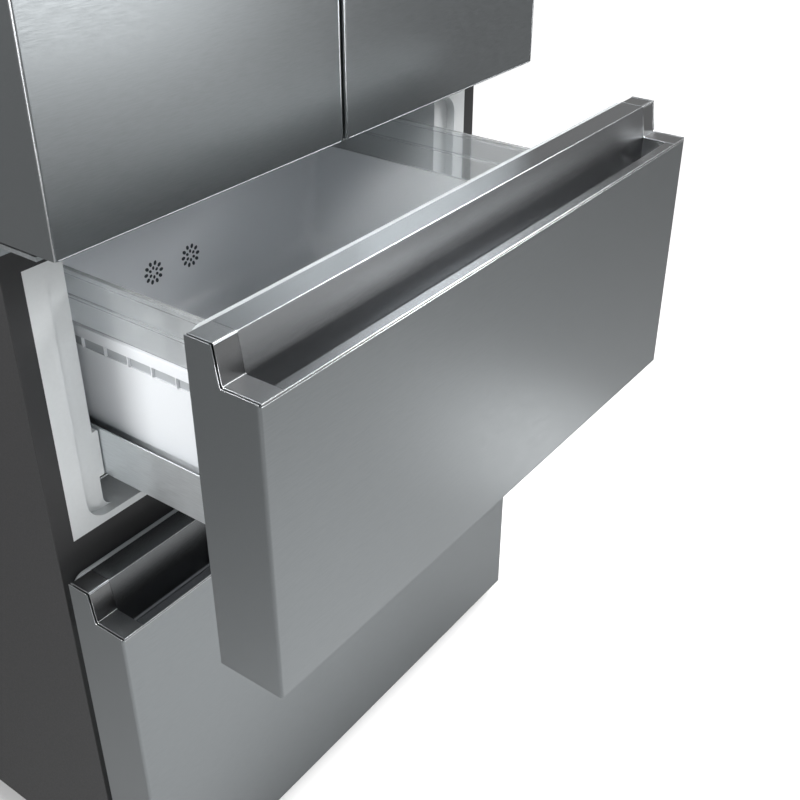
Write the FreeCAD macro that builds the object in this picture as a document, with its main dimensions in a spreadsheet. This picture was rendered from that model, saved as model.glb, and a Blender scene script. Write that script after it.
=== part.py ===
import FreeCAD, Part
import math
import os
import re
import Sketcher

os.makedirs("parts", exist_ok=True)
doc = FreeCAD.newDocument("refrigerator")
sizes = doc.addObject("Spreadsheet::Sheet", "Sizes")

# Driving sizes in millimetres, each in its own cell of the sheet.
SIZES = {
    "case_width": 905, "case_depth": 616, "sheet": 1, "flange": 27, "seal_gap": 12,
    "front_depth": 89, "shown_opening": 263, "floor_gap": 40, "front_base": 45,
    "lower_face": 534, "upper_face": 368, "grip_rise": 44, "grip_depth": 49, "front_gap": 23,
    "door_height": 715, "door_split": 8, "hinge_lift": 4, "edge_radius": 4,
    "side_wall": 55, "drawer_wall": 90, "top_wall": 50, "back_wall": 65, "liner": 2,
    "rebate_depth": 14, "corner_radius": 30, "mouth_radius": 14, "liner_lip": 10, "liner_head": 6,
    "upper_cover": 31, "upper_sill": 31, "lower_cover": 21, "lower_sill": 40, "door_sill": 17,
    "machine_depth": 190, "machine_height": 222, "machine_foam": 36, "step_wall": 45,
    "lip_height": 3, "lip_depth": 14, "grip_lean": 6, "pocket_depth": 34, "grip_wall": 3,
    "cap_width": 35, "cap_round": 3, "seam": 0.4, "fit": 0.3, "gasket_width": 14, "gasket_inset": 11,
    "gasket_base": 4, "gasket_gap": 0.5, "gasket_bulb": 8, "gasket_edge": 3,
    "hinge_inset": 14, "hinge_set": 45, "pin_radius": 5, "pin_reach": 14, "pin_play": 0.3,
    "hinge_plate": 4, "hinge_reach": 80, "hinge_width": 60, "cover_rise": 29, "cover_wall": 2,
    "bracket_plate": 5, "bracket_width": 36, "bracket_drop": 2, "bracket_front": 15,
    "bar_depth": 15, "bar_sheet": 2, "door_cap": 18, "finger_length": 240, "finger_width": 26,
    "finger_depth": 14, "finger_set": 20, "dyke_height": 70, "dyke_wall": 20, "dyke_gap": 12,
    "dyke_margin": 15, "dyke_centre": 48, "bin_reach": 110, "bin_tall": 90, "bin_wall": 3,
    "bin_first": 30, "bin_step": 200, "mullion_width": 22, "mullion_length": 72, "mullion_set": 30,
    "mullion_end": 20, "mullion_pin": 3, "lug_height": 6,
    "tub_side": 118, "tub_front": 6, "tub_depth": 520, "tub_wall": 3, "tub_radius": 25,
    "rim_drop": 23, "clear_height": 72, "bead_height": 6, "ledge_drop": 34,
    "band_height": 15, "band_reach": 4, "rib_height": 14, "rib_step": 40, "rib_thick": 2.5,
    "rib_ledge": 2, "rosette_pitch": 77, "rosette_drop": 199, "ring_outer": 15.5, "ring_inner": 7.5,
    "hole_outer": 6, "hole_inner": 4.5, "tub_floor": 3, "tub_cove": 16, "cap_seam": 2.4,
    "rail_side": 100, "rail_sheet": 1.5, "rail_lift": 46, "rail_tall": 69, "rail_deep": 16.5,
    "rail_ledge": 20, "rail_lip": 17, "rail_play": 0.2, "blade_sheet": 1.5, "mid_sheet": 1.5, "mid_wide": 7.5,
    "glide": 4, "bracket_gap": 7, "mouth_set": 20, "guide_length": 30, "guide_gap": 1.5,
    "upper_rail_length": 500, "lower_rail_length": 370, "upper_mid_length": 440,
    "lower_mid_length": 340, "upper_blade_end": 45, "lower_blade_end": 16,
    "freezer_bin_depth": 362, "freezer_bin_tall": 380,
    "shelf_front": 20, "shelf_back": 12, "shelf_glass": 4, "shelf_trim": 14, "trim_depth": 16,
    "shelf_ledge": 8, "shelf_gap": 3, "shelf_first": 190, "shelf_step": 150, "ledge_width": 16,
    "crisper_wall": 3, "crisper_gap": 8, "crisper_front": 34, "crisper_top_gap": 6,
    "duct_width": 220, "duct_depth": 10, "duct_start": 210, "duct_height": 380,
    "lamp_width": 360, "lamp_depth": 120, "lamp_height": 12,
    "foot_radius": 18, "foot_height": 12, "stem_radius": 6, "foot_side": 60, "foot_set": 40,
    "roller_radius": 19, "roller_width": 16, "axle_radius": 4, "roller_set": 60,
    "fork_sheet": 3, "fork_gap": 2, "kick_set": 30, "kick_sheet": 2, "kick_low": 8, "kick_side": 20,
    "grille_slot": 18, "grille_pitch": 36,
    "pump_radius": 72, "pump_height": 150, "pump_inset": 202.5, "pump_dome": 36, "pump_foot": 10,
    "coil_width": 190, "coil_height": 150, "coil_depth": 60, "coil_inset": 392.5, "fin_pitch": 19,
    "fin_sheet": 1, "tube_radius": 4, "fan_frame": 150, "fan_depth": 26, "fan_radius": 66,
    "fan_side": 190, "hub_radius": 16, "blade_thick": 2, "fan_gap": 3, "shaft_radius": 4,
    "pan_width": 300, "pan_depth": 120, "pan_height": 24, "pan_wall": 2,
    "evap_width": 480, "evap_height": 190, "evap_depth": 60, "evap_fin": 40,
    "cover_sheet": 3, "evap_fan_radius": 48, "evap_fan_rise": 225, "fan_hole": 52,
    "cover_slot": 90, "cover_pitch": 120,
}


def expr(text):
    """Give an expression for the sheet: each word becomes one of its cells."""
    return re.sub(r"([a-z][a-z_]*)", r"Sizes.\1", text)


def value(text):
    """Give the number that an expression of sizes comes to."""
    return float(sizes.evalExpression(expr(text)))


def bind(item, **settings):
    """Bind properties to expressions; a double underscore stands for a point."""
    for name, text in settings.items():
        item.setExpression(name.replace("__", "."), expr(text))
    return item


def place_at(item, across, along, up):
    """Bind the place of an item's own origin."""
    return bind(item, Placement__Base__x=across, Placement__Base__y=along, Placement__Base__z=up)


def box(name, across, along, up):
    """Make a box between pairs of planes along X, Y and Z."""
    item = doc.addObject("Part::Box", name)
    lengths = [f"({high}) - ({low})" for low, high in (across, along, up)]
    bind(item, Length=lengths[0], Width=lengths[1], Height=lengths[2])
    return place_at(item, across[0], along[0], up[0])


TURNS = {
    "x": (FreeCAD.Vector(0, 1, 0), 90),
    "y": (FreeCAD.Vector(1, 0, 0), -90),
    "z": (FreeCAD.Vector(0, 0, 1), 0),
}


def rod(name, axis, start, radius, length):
    """Make a cylinder that runs from a start point in the positive direction of an axis."""
    item = doc.addObject("Part::Cylinder", name)
    item.Placement.Rotation = FreeCAD.Rotation(*TURNS[axis])
    bind(item, Radius=radius, Height=length)
    return place_at(item, *start)


def fuse(name, *items):
    """Join touching items into one solid."""
    item = doc.addObject("Part::MultiFuse", name)
    item.Shapes = list(items)
    item.Refine = True
    return item


def cut(name, base, *tools):
    """Take tools away from a base."""
    item = doc.addObject("Part::Cut", name)
    item.Base = base
    item.Tool = tools[0] if len(tools) == 1 else group(name + "_tools", *tools)
    item.Refine = True
    return item


def group(name, *items):
    """Keep several solids together as one piece with separate solids."""
    item = doc.addObject("Part::Compound", name)
    item.Links = list(items)
    return item


def mirror(name, source):
    """Make the opposite-handed copy across the middle plane."""
    item = doc.addObject("Part::Mirroring", name)
    item.Source = source
    item.Normal = (1, 0, 0)
    return item


def pair(name, source):
    """Make a piece of two solids, one on each side."""
    return group(name, source, mirror(name + "_other", source))


def lines_along(shape, axis, places):
    """Find edges along an axis whose other two coordinates are at one of the places."""
    others = [index for index in range(3) if index != axis]
    found = []
    for number, edge in enumerate(shape.Edges, 1):
        reach = edge.BoundBox
        span = (reach.XLength, reach.YLength, reach.ZLength)
        if max(span[other] for other in others) > 0.01:
            continue
        middle = edge.CenterOfMass
        spot = [middle[other] for other in others]
        if any(abs(spot[0] - place[0]) < 0.02 and abs(spot[1] - place[1]) < 0.02 for place in places):
            found.append(number)
    return found


def rounded(name, source, radius, axis, *places):
    """Round the edges along an axis at the given places of the two other axes."""
    doc.recompute()
    spots = [(value(first), value(second)) for first, second in places]
    item = doc.addObject("Part::Fillet", name)
    item.Base = source
    amount = value(radius)
    item.Edges = [(number, amount, amount) for number in lines_along(source.Shape, axis, spots)]
    return item


def plane_sketch(body, name, role):
    """Start a sketch on one of a body's origin planes."""
    sketch = body.newObject("Sketcher::SketchObject", name)
    plane = [feature for feature in body.Origin.OriginFeatures if feature.Role == role][0]
    sketch.AttachmentSupport = [(plane, "")]
    sketch.MapMode = "FlatFace"
    return sketch


def draw_loop(sketch, loop):
    """Draw a closed outline whose corners are each held by two bound distances."""
    first = sketch.GeometryCount
    spots = [FreeCAD.Vector(value(one), value(two), 0) for one, two in loop]
    count = len(loop)
    for index in range(count):
        sketch.addGeometry(Part.LineSegment(spots[index], spots[(index + 1) % count]), False)
    for index in range(count):
        follower = first + (index + 1) % count
        sketch.addConstraint(Sketcher.Constraint("Coincident", first + index, 2, follower, 1))
    for index, corner in enumerate(loop):
        amounts = (spots[index].x, spots[index].y)
        for kind, text, amount in zip(("DistanceX", "DistanceY"), corner, amounts):
            number = sketch.addConstraint(Sketcher.Constraint(kind, -1, 1, first + index, 1, amount))
            sketch.setExpression(f"Constraints[{number}]", expr(text))


def profile(name, role, start, length, *loops):
    """Pad closed outlines from an origin plane, every corner held by two bound distances."""
    body = doc.addObject("PartDesign::Body", name)
    sketch = plane_sketch(body, name + "_outline", role)
    bind(sketch, AttachmentOffset__Base__z=start)
    for loop in loops:
        draw_loop(sketch, loop)
    pad = body.newObject("PartDesign::Pad", name + "_pad")
    pad.Profile = sketch
    bind(pad, Length=length)
    return body


def soften(body, radius, axis, *places):
    """Round edges of a padded outline as a feature of the same body."""
    doc.recompute()
    spots = [(value(first), value(second)) for first, second in places]
    tip = body.Tip
    feature = body.newObject("PartDesign::Fillet", tip.Name + "_round")
    names = [f"Edge{number}" for number in lines_along(tip.Shape, axis, spots)]
    feature.Base = (tip, names)
    bind(feature, Radius=radius)
    return body


def turned(name, centre, outline):
    """Turn an outline of radius and height about an upright line through the centre."""
    body = doc.addObject("PartDesign::Body", name)
    sketch = plane_sketch(body, name + "_outline", "XZ_Plane")
    draw_loop(sketch, outline)
    turn = body.newObject("PartDesign::Revolution", name + "_turn")
    turn.Profile = sketch
    turn.ReferenceAxis = (sketch, ["V_Axis"])
    turn.Angle = 360
    bind(body, Placement__Base__x=centre[0], Placement__Base__y=centre[1])
    return body


def about(low, high):
    """Give the range between two distances from the middle plane, on the right side."""
    return (low, high)


def left(low, high):
    """Give the same range on the left side."""
    return (f"-({high})", f"-({low})")


def around(middle, half):
    """Give a range that is even about a middle."""
    return (f"{middle} - {half}", f"{middle} + {half}")


def both(half):
    """Give a range that is even about the middle plane."""
    return (f"-({half})", half)


for row, (name, amount) in enumerate(SIZES.items(), 1):
    sizes.set(f"A{row}", name)
    sizes.set(f"B{row}", str(amount))
    sizes.setAlias(f"B{row}", name)
doc.recompute()

# Planes that follow from the driving sizes.
CASE_FRONT = "(seal_gap + front_depth + shown_opening - case_depth) / 2"
CASE_BACK = f"{CASE_FRONT} + case_depth"
FRONT_BACK = f"{CASE_FRONT} - seal_gap"
OPEN_BACK = f"{FRONT_BACK} - shown_opening"
DOOR_FRONT = f"{FRONT_BACK} - front_depth"
LOWER_SHELF = "front_base + lower_face"
LOWER_TOP = f"{LOWER_SHELF} + grip_rise"
UPPER_BASE = f"{LOWER_TOP} + front_gap"
UPPER_SHELF = f"{UPPER_BASE} + upper_face"
UPPER_TOP = f"{UPPER_SHELF} + grip_rise"
DOOR_BASE = f"{UPPER_TOP} + front_gap"
DOOR_TOP = f"{DOOR_BASE} + door_height"
CASE_TOP = f"{DOOR_TOP} + hinge_lift"
CHILL_FLOOR = f"{DOOR_BASE} + door_sill"
CHILL_TOP = f"{CASE_TOP} - top_wall"
DRAWER_TOP = f"{UPPER_TOP} - upper_cover"
DRAWER_FLOOR = f"{UPPER_BASE} + upper_sill"
FREEZER_TOP = f"{LOWER_TOP} - lower_cover"
FREEZER_FLOOR = "front_base + lower_sill"
ROOM_BACK = f"{CASE_BACK} - back_wall"
MACHINE_FRONT = f"{CASE_BACK} - machine_depth"
MACHINE_TOP = "floor_gap + machine_height"
STEP_TOP = f"{MACHINE_TOP} + machine_foam"
FREEZER_BACK = f"{MACHINE_FRONT} - step_wall"
HALF = "case_width / 2"
CHILL_HALF = "case_width / 2 - side_wall"
DRAWER_HALF = "case_width / 2 - drawer_wall"
HINGE_SIDE = "case_width / 2 - hinge_inset"
HINGE_DEEP = f"{DOOR_FRONT} + hinge_set"


def cabinet_shell():
    """Wrapper of folded steel with its front return, back sheet, base and the two front bars."""
    edge = f"{HALF} - flange"
    block = box("case_side_block", about(edge, HALF), (CASE_FRONT, CASE_BACK), ("floor_gap", CASE_TOP))
    room = box("case_side_room", about(f"{edge} - sheet", f"{HALF} - sheet"),
               (f"{CASE_FRONT} + sheet", f"{CASE_BACK} + sheet"),
               ("floor_gap - sheet", f"{CASE_TOP} + sheet"))
    side = rounded("case_side", cut("case_side_folded", block, room), "sheet", 2, (HALF, CASE_FRONT))
    lid = box("case_lid", both(f"{HALF} - sheet"), (f"{CASE_FRONT} + sheet", CASE_BACK),
              (f"{CASE_TOP} - sheet", CASE_TOP))
    brow = box("case_brow", both(edge), (CASE_FRONT, f"{CASE_FRONT} + sheet"),
               (f"{CASE_TOP} - flange", CASE_TOP))
    group("case_shell", side, mirror("case_side_other", side), fuse("case_top", lid, brow))
    box("back_panel", both(f"{HALF} - sheet"), (f"{CASE_BACK} - sheet", CASE_BACK),
        (MACHINE_TOP, f"{CASE_TOP} - sheet"))
    floor = box("base_floor", both(f"{HALF} - sheet"), (f"{CASE_FRONT} + bar_sheet", CASE_BACK),
                ("floor_gap", "floor_gap + bar_sheet"))
    rail = box("base_rail", both(f"{HALF} - flange"), (CASE_FRONT, f"{CASE_FRONT} + bar_sheet"),
               ("floor_gap", f"{FREEZER_FLOOR} - liner_lip"))
    wall = box("base_wall", both(f"{HALF} - sheet"), (MACHINE_FRONT, f"{MACHINE_FRONT} + sheet"),
               ("floor_gap + bar_sheet", f"{MACHINE_TOP} - sheet"))
    roof = box("base_roof", both(f"{HALF} - sheet"), (MACHINE_FRONT, CASE_BACK),
               (f"{MACHINE_TOP} - sheet", MACHINE_TOP))
    group("base_frame", floor, rail, wall, roof)
    bars = []
    spans = ((f"{FREEZER_TOP} + liner_lip", f"{DRAWER_FLOOR} - liner_lip"),
             (f"{DRAWER_TOP} + liner_head", f"{CHILL_FLOOR} - liner_lip"))
    for number, span in enumerate(spans):
        solid = box(f"bar_block_{number}", both(f"{HALF} - flange"),
                    (CASE_FRONT, f"{CASE_FRONT} + bar_depth"), span)
        hollow = box(f"bar_room_{number}", both(HALF),
                     (f"{CASE_FRONT} + bar_sheet", f"{CASE_FRONT} + 2 * bar_depth"),
                     (f"{span[0]} + bar_sheet", f"{span[1]} - bar_sheet"))
        bars.append(cut(f"bar_{number}", solid, hollow))
    group("divider_bars", *bars)


def insulation():
    """Foam slabs between the wrapper and the liners."""
    front = f"{CASE_FRONT} + liner"
    behind = f"{CASE_FRONT} + bar_depth + sheet"
    rear = f"{CASE_BACK} - sheet"
    narrow = f"{DRAWER_HALF} + liner"
    wide = f"{CHILL_HALF} + liner"
    edge = f"{HALF} - sheet"
    split = f"{CHILL_FLOOR} - liner"
    low = "floor_gap + bar_sheet"
    deep = f"{ROOM_BACK} + liner"
    step = f"{FREEZER_BACK} + liner"
    roof = f"{CHILL_TOP} + liner"
    lid = f"{DRAWER_TOP} + liner"
    floor = f"{DRAWER_FLOOR} - liner"
    cold_lid = f"{FREEZER_TOP} + liner"
    cold_floor = f"{FREEZER_FLOOR} - liner"
    slabs = []
    notched = []
    for side, place in (("right", about), ("left", left)):
        slabs.append((f"foam_low_{side}", place(narrow, edge), (behind, MACHINE_FRONT), (low, split)))
        slabs.append((f"foam_rear_{side}", place(narrow, edge), (MACHINE_FRONT, rear), (MACHINE_TOP, split)))
        slabs.append((f"foam_high_{side}", place(wide, edge), (front, rear), (split, f"{CASE_TOP} - sheet")))
        strip = box(f"foam_strip_{side}", place(wide, edge), (front, behind), (low, split))
        bars = [doc.getObject(f"bar_block_{number}") for number in range(2)]
        notched.append(cut(f"foam_front_{side}", strip, *bars))
    slabs += [
        ("foam_top", both(wide), (front, rear), (roof, f"{CASE_TOP} - sheet")),
        ("foam_back_high", both(wide), (deep, rear), (split, roof)),
        ("foam_shelf_high", both(narrow), (behind, rear), (lid, split)),
        ("foam_back_middle", both(narrow), (deep, rear), (floor, lid)),
        ("foam_shelf_low", both(narrow), (behind, rear), (cold_lid, floor)),
        ("foam_back_low", both(narrow), (deep, rear), (f"{STEP_TOP} - liner", cold_lid)),
        ("foam_step", both(narrow), (step, rear), (MACHINE_TOP, f"{STEP_TOP} - liner")),
        ("foam_step_front", both(narrow), (step, MACHINE_FRONT), (cold_floor, MACHINE_TOP)),
        ("foam_floor", both(narrow), (behind, MACHINE_FRONT), (low, cold_floor)),
    ]
    group("insulation", *[box(*slab) for slab in slabs], *notched)


def room_tool(name, half, along, up, radius):
    """Make the space of a moulded room with rounded corners at its mouth."""
    raw = box(name + "_raw", both(half), along, up)
    corners = [(side, level) for side in (half, f"-({half})") for level in up]
    return rounded(name, raw, radius, 1, *corners)


def liners():
    """Moulded rooms: the fridge with shelf ledges, two stepped drawer rooms."""
    front = (CASE_FRONT, f"{CASE_FRONT} + liner")
    ahead = f"{CASE_FRONT} - liner"
    block = box("chill_block", both(f"{CHILL_HALF} + liner"), (CASE_FRONT, f"{ROOM_BACK} + liner"),
                (f"{CHILL_FLOOR} - liner", f"{CHILL_TOP} + liner"))
    band = box("chill_band", both(f"{HALF} - flange"), front,
               (f"{CHILL_FLOOR} - liner_lip", f"{CASE_TOP} - flange"))
    space = room_tool("chill_space", CHILL_HALF, (ahead, ROOM_BACK), (CHILL_FLOOR, CHILL_TOP),
                      "corner_radius")
    moulded = cut("chill_moulded", fuse("chill_outside", block, band), space)
    ledges = []
    for number in range(3):
        top = f"{CHILL_FLOOR} + shelf_first + {number} * shelf_step"
        for side, place in (("right", about), ("left", left)):
            across = place(f"{CHILL_HALF} - ledge_width", f"{CHILL_HALF} + liner")
            ledges.append(box(f"ledge_{number}_{side}", across,
                              (f"{CASE_FRONT} + seal_gap + dyke_height + bin_reach", ROOM_BACK),
                              (f"{top} - shelf_ledge", top)))
    fuse("fridge_liner", moulded, *ledges)
    rooms = (("upper_drawer_liner", DRAWER_FLOOR, DRAWER_TOP, "liner_head", ROOM_BACK),
             ("freezer_liner", FREEZER_FLOOR, FREEZER_TOP, "liner_lip", FREEZER_BACK))
    for name, low, high, head, back in rooms:
        up = (low, high)
        outside = (f"{low} - liner", f"{high} + liner")
        body = box(name + "_body", both(f"{DRAWER_HALF} + liner"), (CASE_FRONT, f"{back} + liner"), outside)
        mouth = box(name + "_mouth", both(f"{CHILL_HALF} + liner"),
                    (CASE_FRONT, f"{CASE_FRONT} + rebate_depth + liner"), outside)
        band = box(name + "_band", both(f"{HALF} - flange"), front,
                   (f"{low} - liner_lip", f"{high} + {head}"))
        solids = [body, mouth, band]
        step = (ahead, f"{CASE_FRONT} + rebate_depth")
        spaces = [room_tool(name + "_room", DRAWER_HALF, (ahead, back), up, "mouth_radius"),
                  room_tool(name + "_rebate", CHILL_HALF, step, up, "corner_radius")]
        if name == "freezer_liner":
            solids.append(box("chamber_block", both(f"{DRAWER_HALF} + liner"), (back, f"{ROOM_BACK} + liner"),
                              (f"{STEP_TOP} - liner", f"{high} + liner")))
            spaces.append(box("chamber_space", both(DRAWER_HALF), (f"{back} - corner_radius", ROOM_BACK),
                              (STEP_TOP, high)))
        shell = cut(name + "_shell", fuse(name + "_solid", *solids), *spaces)
        guides = []
        for side, place in (("right", about), ("left", left)):
            across = place(f"{HALF} - rail_side + guide_gap", f"{DRAWER_HALF} + liner")
            levels = (f"{low} + rail_lift", f"{low} + rail_lift + rail_tall - 2 * rail_sheet")
            start = f"{CASE_FRONT} + rebate_depth"
            guide = box(f"{name}_guide_{side}", across, (start, f"{start} + guide_length"), levels)
            inner = across[0 if side == "right" else 1]
            guides.append(rounded(f"{name}_guide_soft_{side}", guide, "guide_gap", 1,
                                  *[(inner, level) for level in levels]))
        fuse(name, shell, *guides)


def hinges():
    """Top hinge plates with covers, and the brackets between doors and drawer, with their pins."""
    across = about(f"{HALF} - hinge_width - hinge_lift", f"{HALF} - hinge_lift")
    along = (f"{HINGE_DEEP} - bracket_front", f"{CASE_FRONT} + hinge_reach")
    plate = box("top_plate", across, along, (CASE_TOP, f"{CASE_TOP} + hinge_plate"))
    pin = rod("top_pin", "z", (HINGE_SIDE, HINGE_DEEP, f"{DOOR_TOP} - pin_reach"), "pin_radius",
              "pin_reach + hinge_lift + hinge_plate")
    pair("top_hinges", fuse("top_hinge", plate, pin))
    wide = about(f"{HALF} - hinge_width - 2 * hinge_lift", f"{HALF} - sheet")
    long = (f"{along[0]} - 2 * cover_wall", f"{along[1]} + 2 * cover_wall")
    raw = box("cover_block", wide, long, (CASE_TOP, f"{CASE_TOP} + cover_rise"))
    tops = [(side, f"{CASE_TOP} + cover_rise") for side in wide]
    soft = rounded("cover_soft", raw, "3 * cover_wall", 1, *tops)
    hollow = box("cover_room", about(f"{wide[0]} + cover_wall", f"{wide[1]} - cover_wall"),
                 (f"{long[0]} + cover_wall", f"{long[1]} - cover_wall"),
                 (f"{CASE_TOP} - sheet", f"{CASE_TOP} + cover_rise - 3 * cover_wall"))
    pair("hinge_covers", cut("hinge_cover", soft, hollow))
    level = (f"{DOOR_BASE} - bracket_drop - bracket_plate", f"{DOOR_BASE} - bracket_drop")
    plate = box("bracket_flat", about(f"{HALF} - bracket_width", HALF),
                (f"{HINGE_DEEP} - bracket_front", CASE_FRONT), level)
    nose = rounded("bracket_nose", plate, "bracket_front", 2,
                   (f"{HALF} - bracket_width", f"{HINGE_DEEP} - bracket_front"))
    foot = box("bracket_foot", about(f"{HALF} - hinge_width", f"{HALF} - sheet"),
               (f"{CASE_FRONT} - grip_wall", CASE_FRONT), (f"{UPPER_TOP} + bracket_drop", level[1]))
    pin = rod("bracket_pin", "z", (HINGE_SIDE, HINGE_DEEP, level[0]), "pin_radius",
              "bracket_plate + bracket_drop + pin_reach")
    pair("mid_hinges", fuse("mid_hinge", nose, foot, pin))


def door(name, place):
    """One upper door: steel skin, end caps, moulded inside with its raised rim, seal and bins."""
    outer = place("door_split / 2", HALF)
    inner = place("door_split / 2 + sheet", f"{HALF} - sheet")
    upright = (DOOR_BASE, DOOR_TOP)
    raw = box(name + "_raw", outer, (DOOR_FRONT, FRONT_BACK), upright)
    soft = rounded(name + "_soft", raw, "edge_radius", 2, *[(side, DOOR_FRONT) for side in outer])
    front = f"{DOOR_FRONT} + sheet"
    room = box(name + "_room_raw", inner, (front, f"{FRONT_BACK} + sheet"),
               (f"{DOOR_BASE} - sheet", f"{DOOR_TOP} + sheet"))
    inside = rounded(name + "_room", room, "edge_radius - sheet", 2, *[(side, front) for side in inner])
    cut(name + "_panel", soft, inside)
    snug = place("door_split / 2 + sheet + seam / 2", f"{HALF} - sheet - seam / 2")
    face = f"{DOOR_FRONT} + sheet + seam / 2"
    side = place(HINGE_SIDE, HINGE_SIDE)[0]
    caps = []
    for end, low in (("bottom", DOOR_BASE), ("top", f"{DOOR_TOP} - door_cap")):
        flat = box(f"{name}_{end}_flat", snug, (face, FRONT_BACK), (low, f"{low} + door_cap"))
        cap = rounded(f"{name}_{end}_soft", flat, "edge_radius", 2, *[(edge, face) for edge in snug])
        tools = [rod(f"{name}_{end}_bore", "z", (side, HINGE_DEEP, f"{low} - sheet"), "pin_radius + pin_play",
                     "door_cap + 2 * sheet")]
        if end == "bottom":
            groove = box(f"{name}_groove_raw", place("4 * door_split", "4 * door_split + finger_length"),
                         (f"{face} + finger_set", f"{face} + finger_set + finger_width"),
                         (f"{low} - sheet", f"{low} + finger_depth"))
            lines = [(f"{face} + finger_set", f"{low} + finger_depth"),
                     (f"{face} + finger_set + finger_width", f"{low} + finger_depth")]
            tools.append(rounded(f"{name}_groove", groove, "finger_depth / 2", 0, *lines))
        caps.append(cut(f"{name}_{end}_cap", cap, *tools))
    group(name + "_caps", *caps)
    core = box(name + "_core_raw", snug, (face, FRONT_BACK),
               (f"{DOOR_BASE} + door_cap", f"{DOOR_TOP} - door_cap"))
    filled = rounded(name + "_core", core, "edge_radius", 2, *[(edge, face) for edge in snug])
    far = f"{CHILL_HALF} - dyke_gap"
    up = (f"{CHILL_FLOOR} + dyke_margin", f"{CHILL_TOP} - dyke_margin")
    rim = box(name + "_rim_raw", place("dyke_centre", far), (FRONT_BACK, f"{FRONT_BACK} + dyke_height"), up)
    rim_soft = rounded(name + "_rim", rim, "dyke_wall", 1,
                       *[(edge, level) for edge in place("dyke_centre", far) for level in up])
    tray = place("dyke_centre + dyke_wall", f"{far} - dyke_wall")
    hollow = box(name + "_hollow", tray, (FRONT_BACK, f"{FRONT_BACK} + 2 * dyke_height"),
                 (f"{up[0]} + dyke_wall", f"{up[1]} - dyke_wall"))
    solids = [cut(name + "_rim_open", rim_soft, hollow)]
    if name == "left_door":
        for end, low in (("low", f"{CHILL_FLOOR} + mullion_end - lug_height - fit"),
                         ("high", f"{CHILL_TOP} - mullion_end + fit")):
            lug = box(f"lug_{end}", left("mullion_set - mullion_width / 3", "dyke_centre + dyke_wall"),
                      (f"{CASE_FRONT} + grip_wall", f"{CASE_FRONT} + mullion_width - grip_wall"),
                      (low, f"{low} + lug_height"))
            spot = ("-mullion_set", f"{CASE_FRONT} + mullion_width / 2", f"{low} - sheet")
            bore = rod(f"lug_bore_{end}", "z", spot, "mullion_pin + pin_play", "lug_height + 2 * sheet")
            solids.append(cut(f"lug_open_{end}", lug, bore))
    raised = fuse(name + "_raised", *solids) if len(solids) > 1 else solids[0]
    group(name + "_liner", filled, raised)
    seal(name + "_gasket", place("door_split / 2 + gasket_edge", f"{HALF} - gasket_inset"), FRONT_BACK,
         (f"{DOOR_BASE} + gasket_edge", f"{DOOR_TOP} - gasket_edge"))
    bins = []
    for number in range(3):
        low = f"{up[0]} + dyke_wall + bin_first + {number} * bin_step"
        span = (f"{tray[0]} + fit", f"{tray[1]} - fit")
        deep = (FRONT_BACK, f"{FRONT_BACK} + bin_reach")
        solid = box(f"{name}_bin_raw_{number}", span, deep, (low, f"{low} + bin_tall"))
        soft_bin = rounded(f"{name}_bin_soft_{number}", solid, "3 * bin_wall", 2,
                           *[(edge, deep[1]) for edge in span])
        space = box(f"{name}_bin_space_{number}", (f"{span[0]} + bin_wall", f"{span[1]} - bin_wall"),
                    (f"{deep[0]} + bin_wall", f"{deep[1]} - bin_wall"),
                    (f"{low} + bin_wall", f"{low} + 2 * bin_tall"))
        bins.append(cut(f"{name}_bin_{number}", soft_bin, space))
    group(name + "_bins", *bins)


def seal(name, across, back, up):
    """Magnetic seal: a flat foot with a narrower bulb all round."""
    outer = [(across[0], up[0]), (across[1], up[0]), (across[1], up[1]), (across[0], up[1])]

    def ring(inset):
        signs = ((1, 1), (-1, 1), (-1, -1), (1, -1))
        return [(f"{one} + ({sign}) * ({inset})", f"{two} + ({lift}) * ({inset})")
                for (one, two), (sign, lift) in zip(outer, signs)]

    margin = "(gasket_width - gasket_bulb) / 2"
    foot = profile(name + "_foot", "XZ_Plane", f"-({back} + gasket_base)", "gasket_base",
                   ring("0"), ring("gasket_width"))
    bulb = profile(name + "_bulb", "XZ_Plane", f"-({back} + seal_gap - gasket_gap)",
                   "seal_gap - gasket_gap - gasket_base / 2", ring(margin), ring(f"gasket_width - {margin}"))
    return fuse(name, foot, bulb)


def mullion():
    """Flap between the doors, folded back beside the left door's rim as when that door is open."""
    middle = f"{CASE_FRONT} + mullion_width / 2"
    up = (f"{CHILL_FLOOR} + mullion_end", f"{CHILL_TOP} - mullion_end")
    flat = box("mullion_raw", ("-mullion_set - mullion_width / 2", "-mullion_set + mullion_width / 2"),
               (f"{middle} - mullion_width / 4", f"{middle} - mullion_width / 4 + mullion_length"), up)
    soft = rounded("mullion_soft", flat, "gasket_base", 2,
                   *[(edge, f"{middle} - mullion_width / 4 + mullion_length")
                     for edge in ("-mullion_set - mullion_width / 2", "-mullion_set + mullion_width / 2")])
    pin = rod("mullion_axle", "z", ("-mullion_set", middle, f"{up[0]} - lug_height - fit"), "mullion_pin",
              f"({up[1]}) - ({up[0]}) + 2 * lug_height + 2 * fit")
    fuse("flip_mullion", soft, pin)


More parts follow.
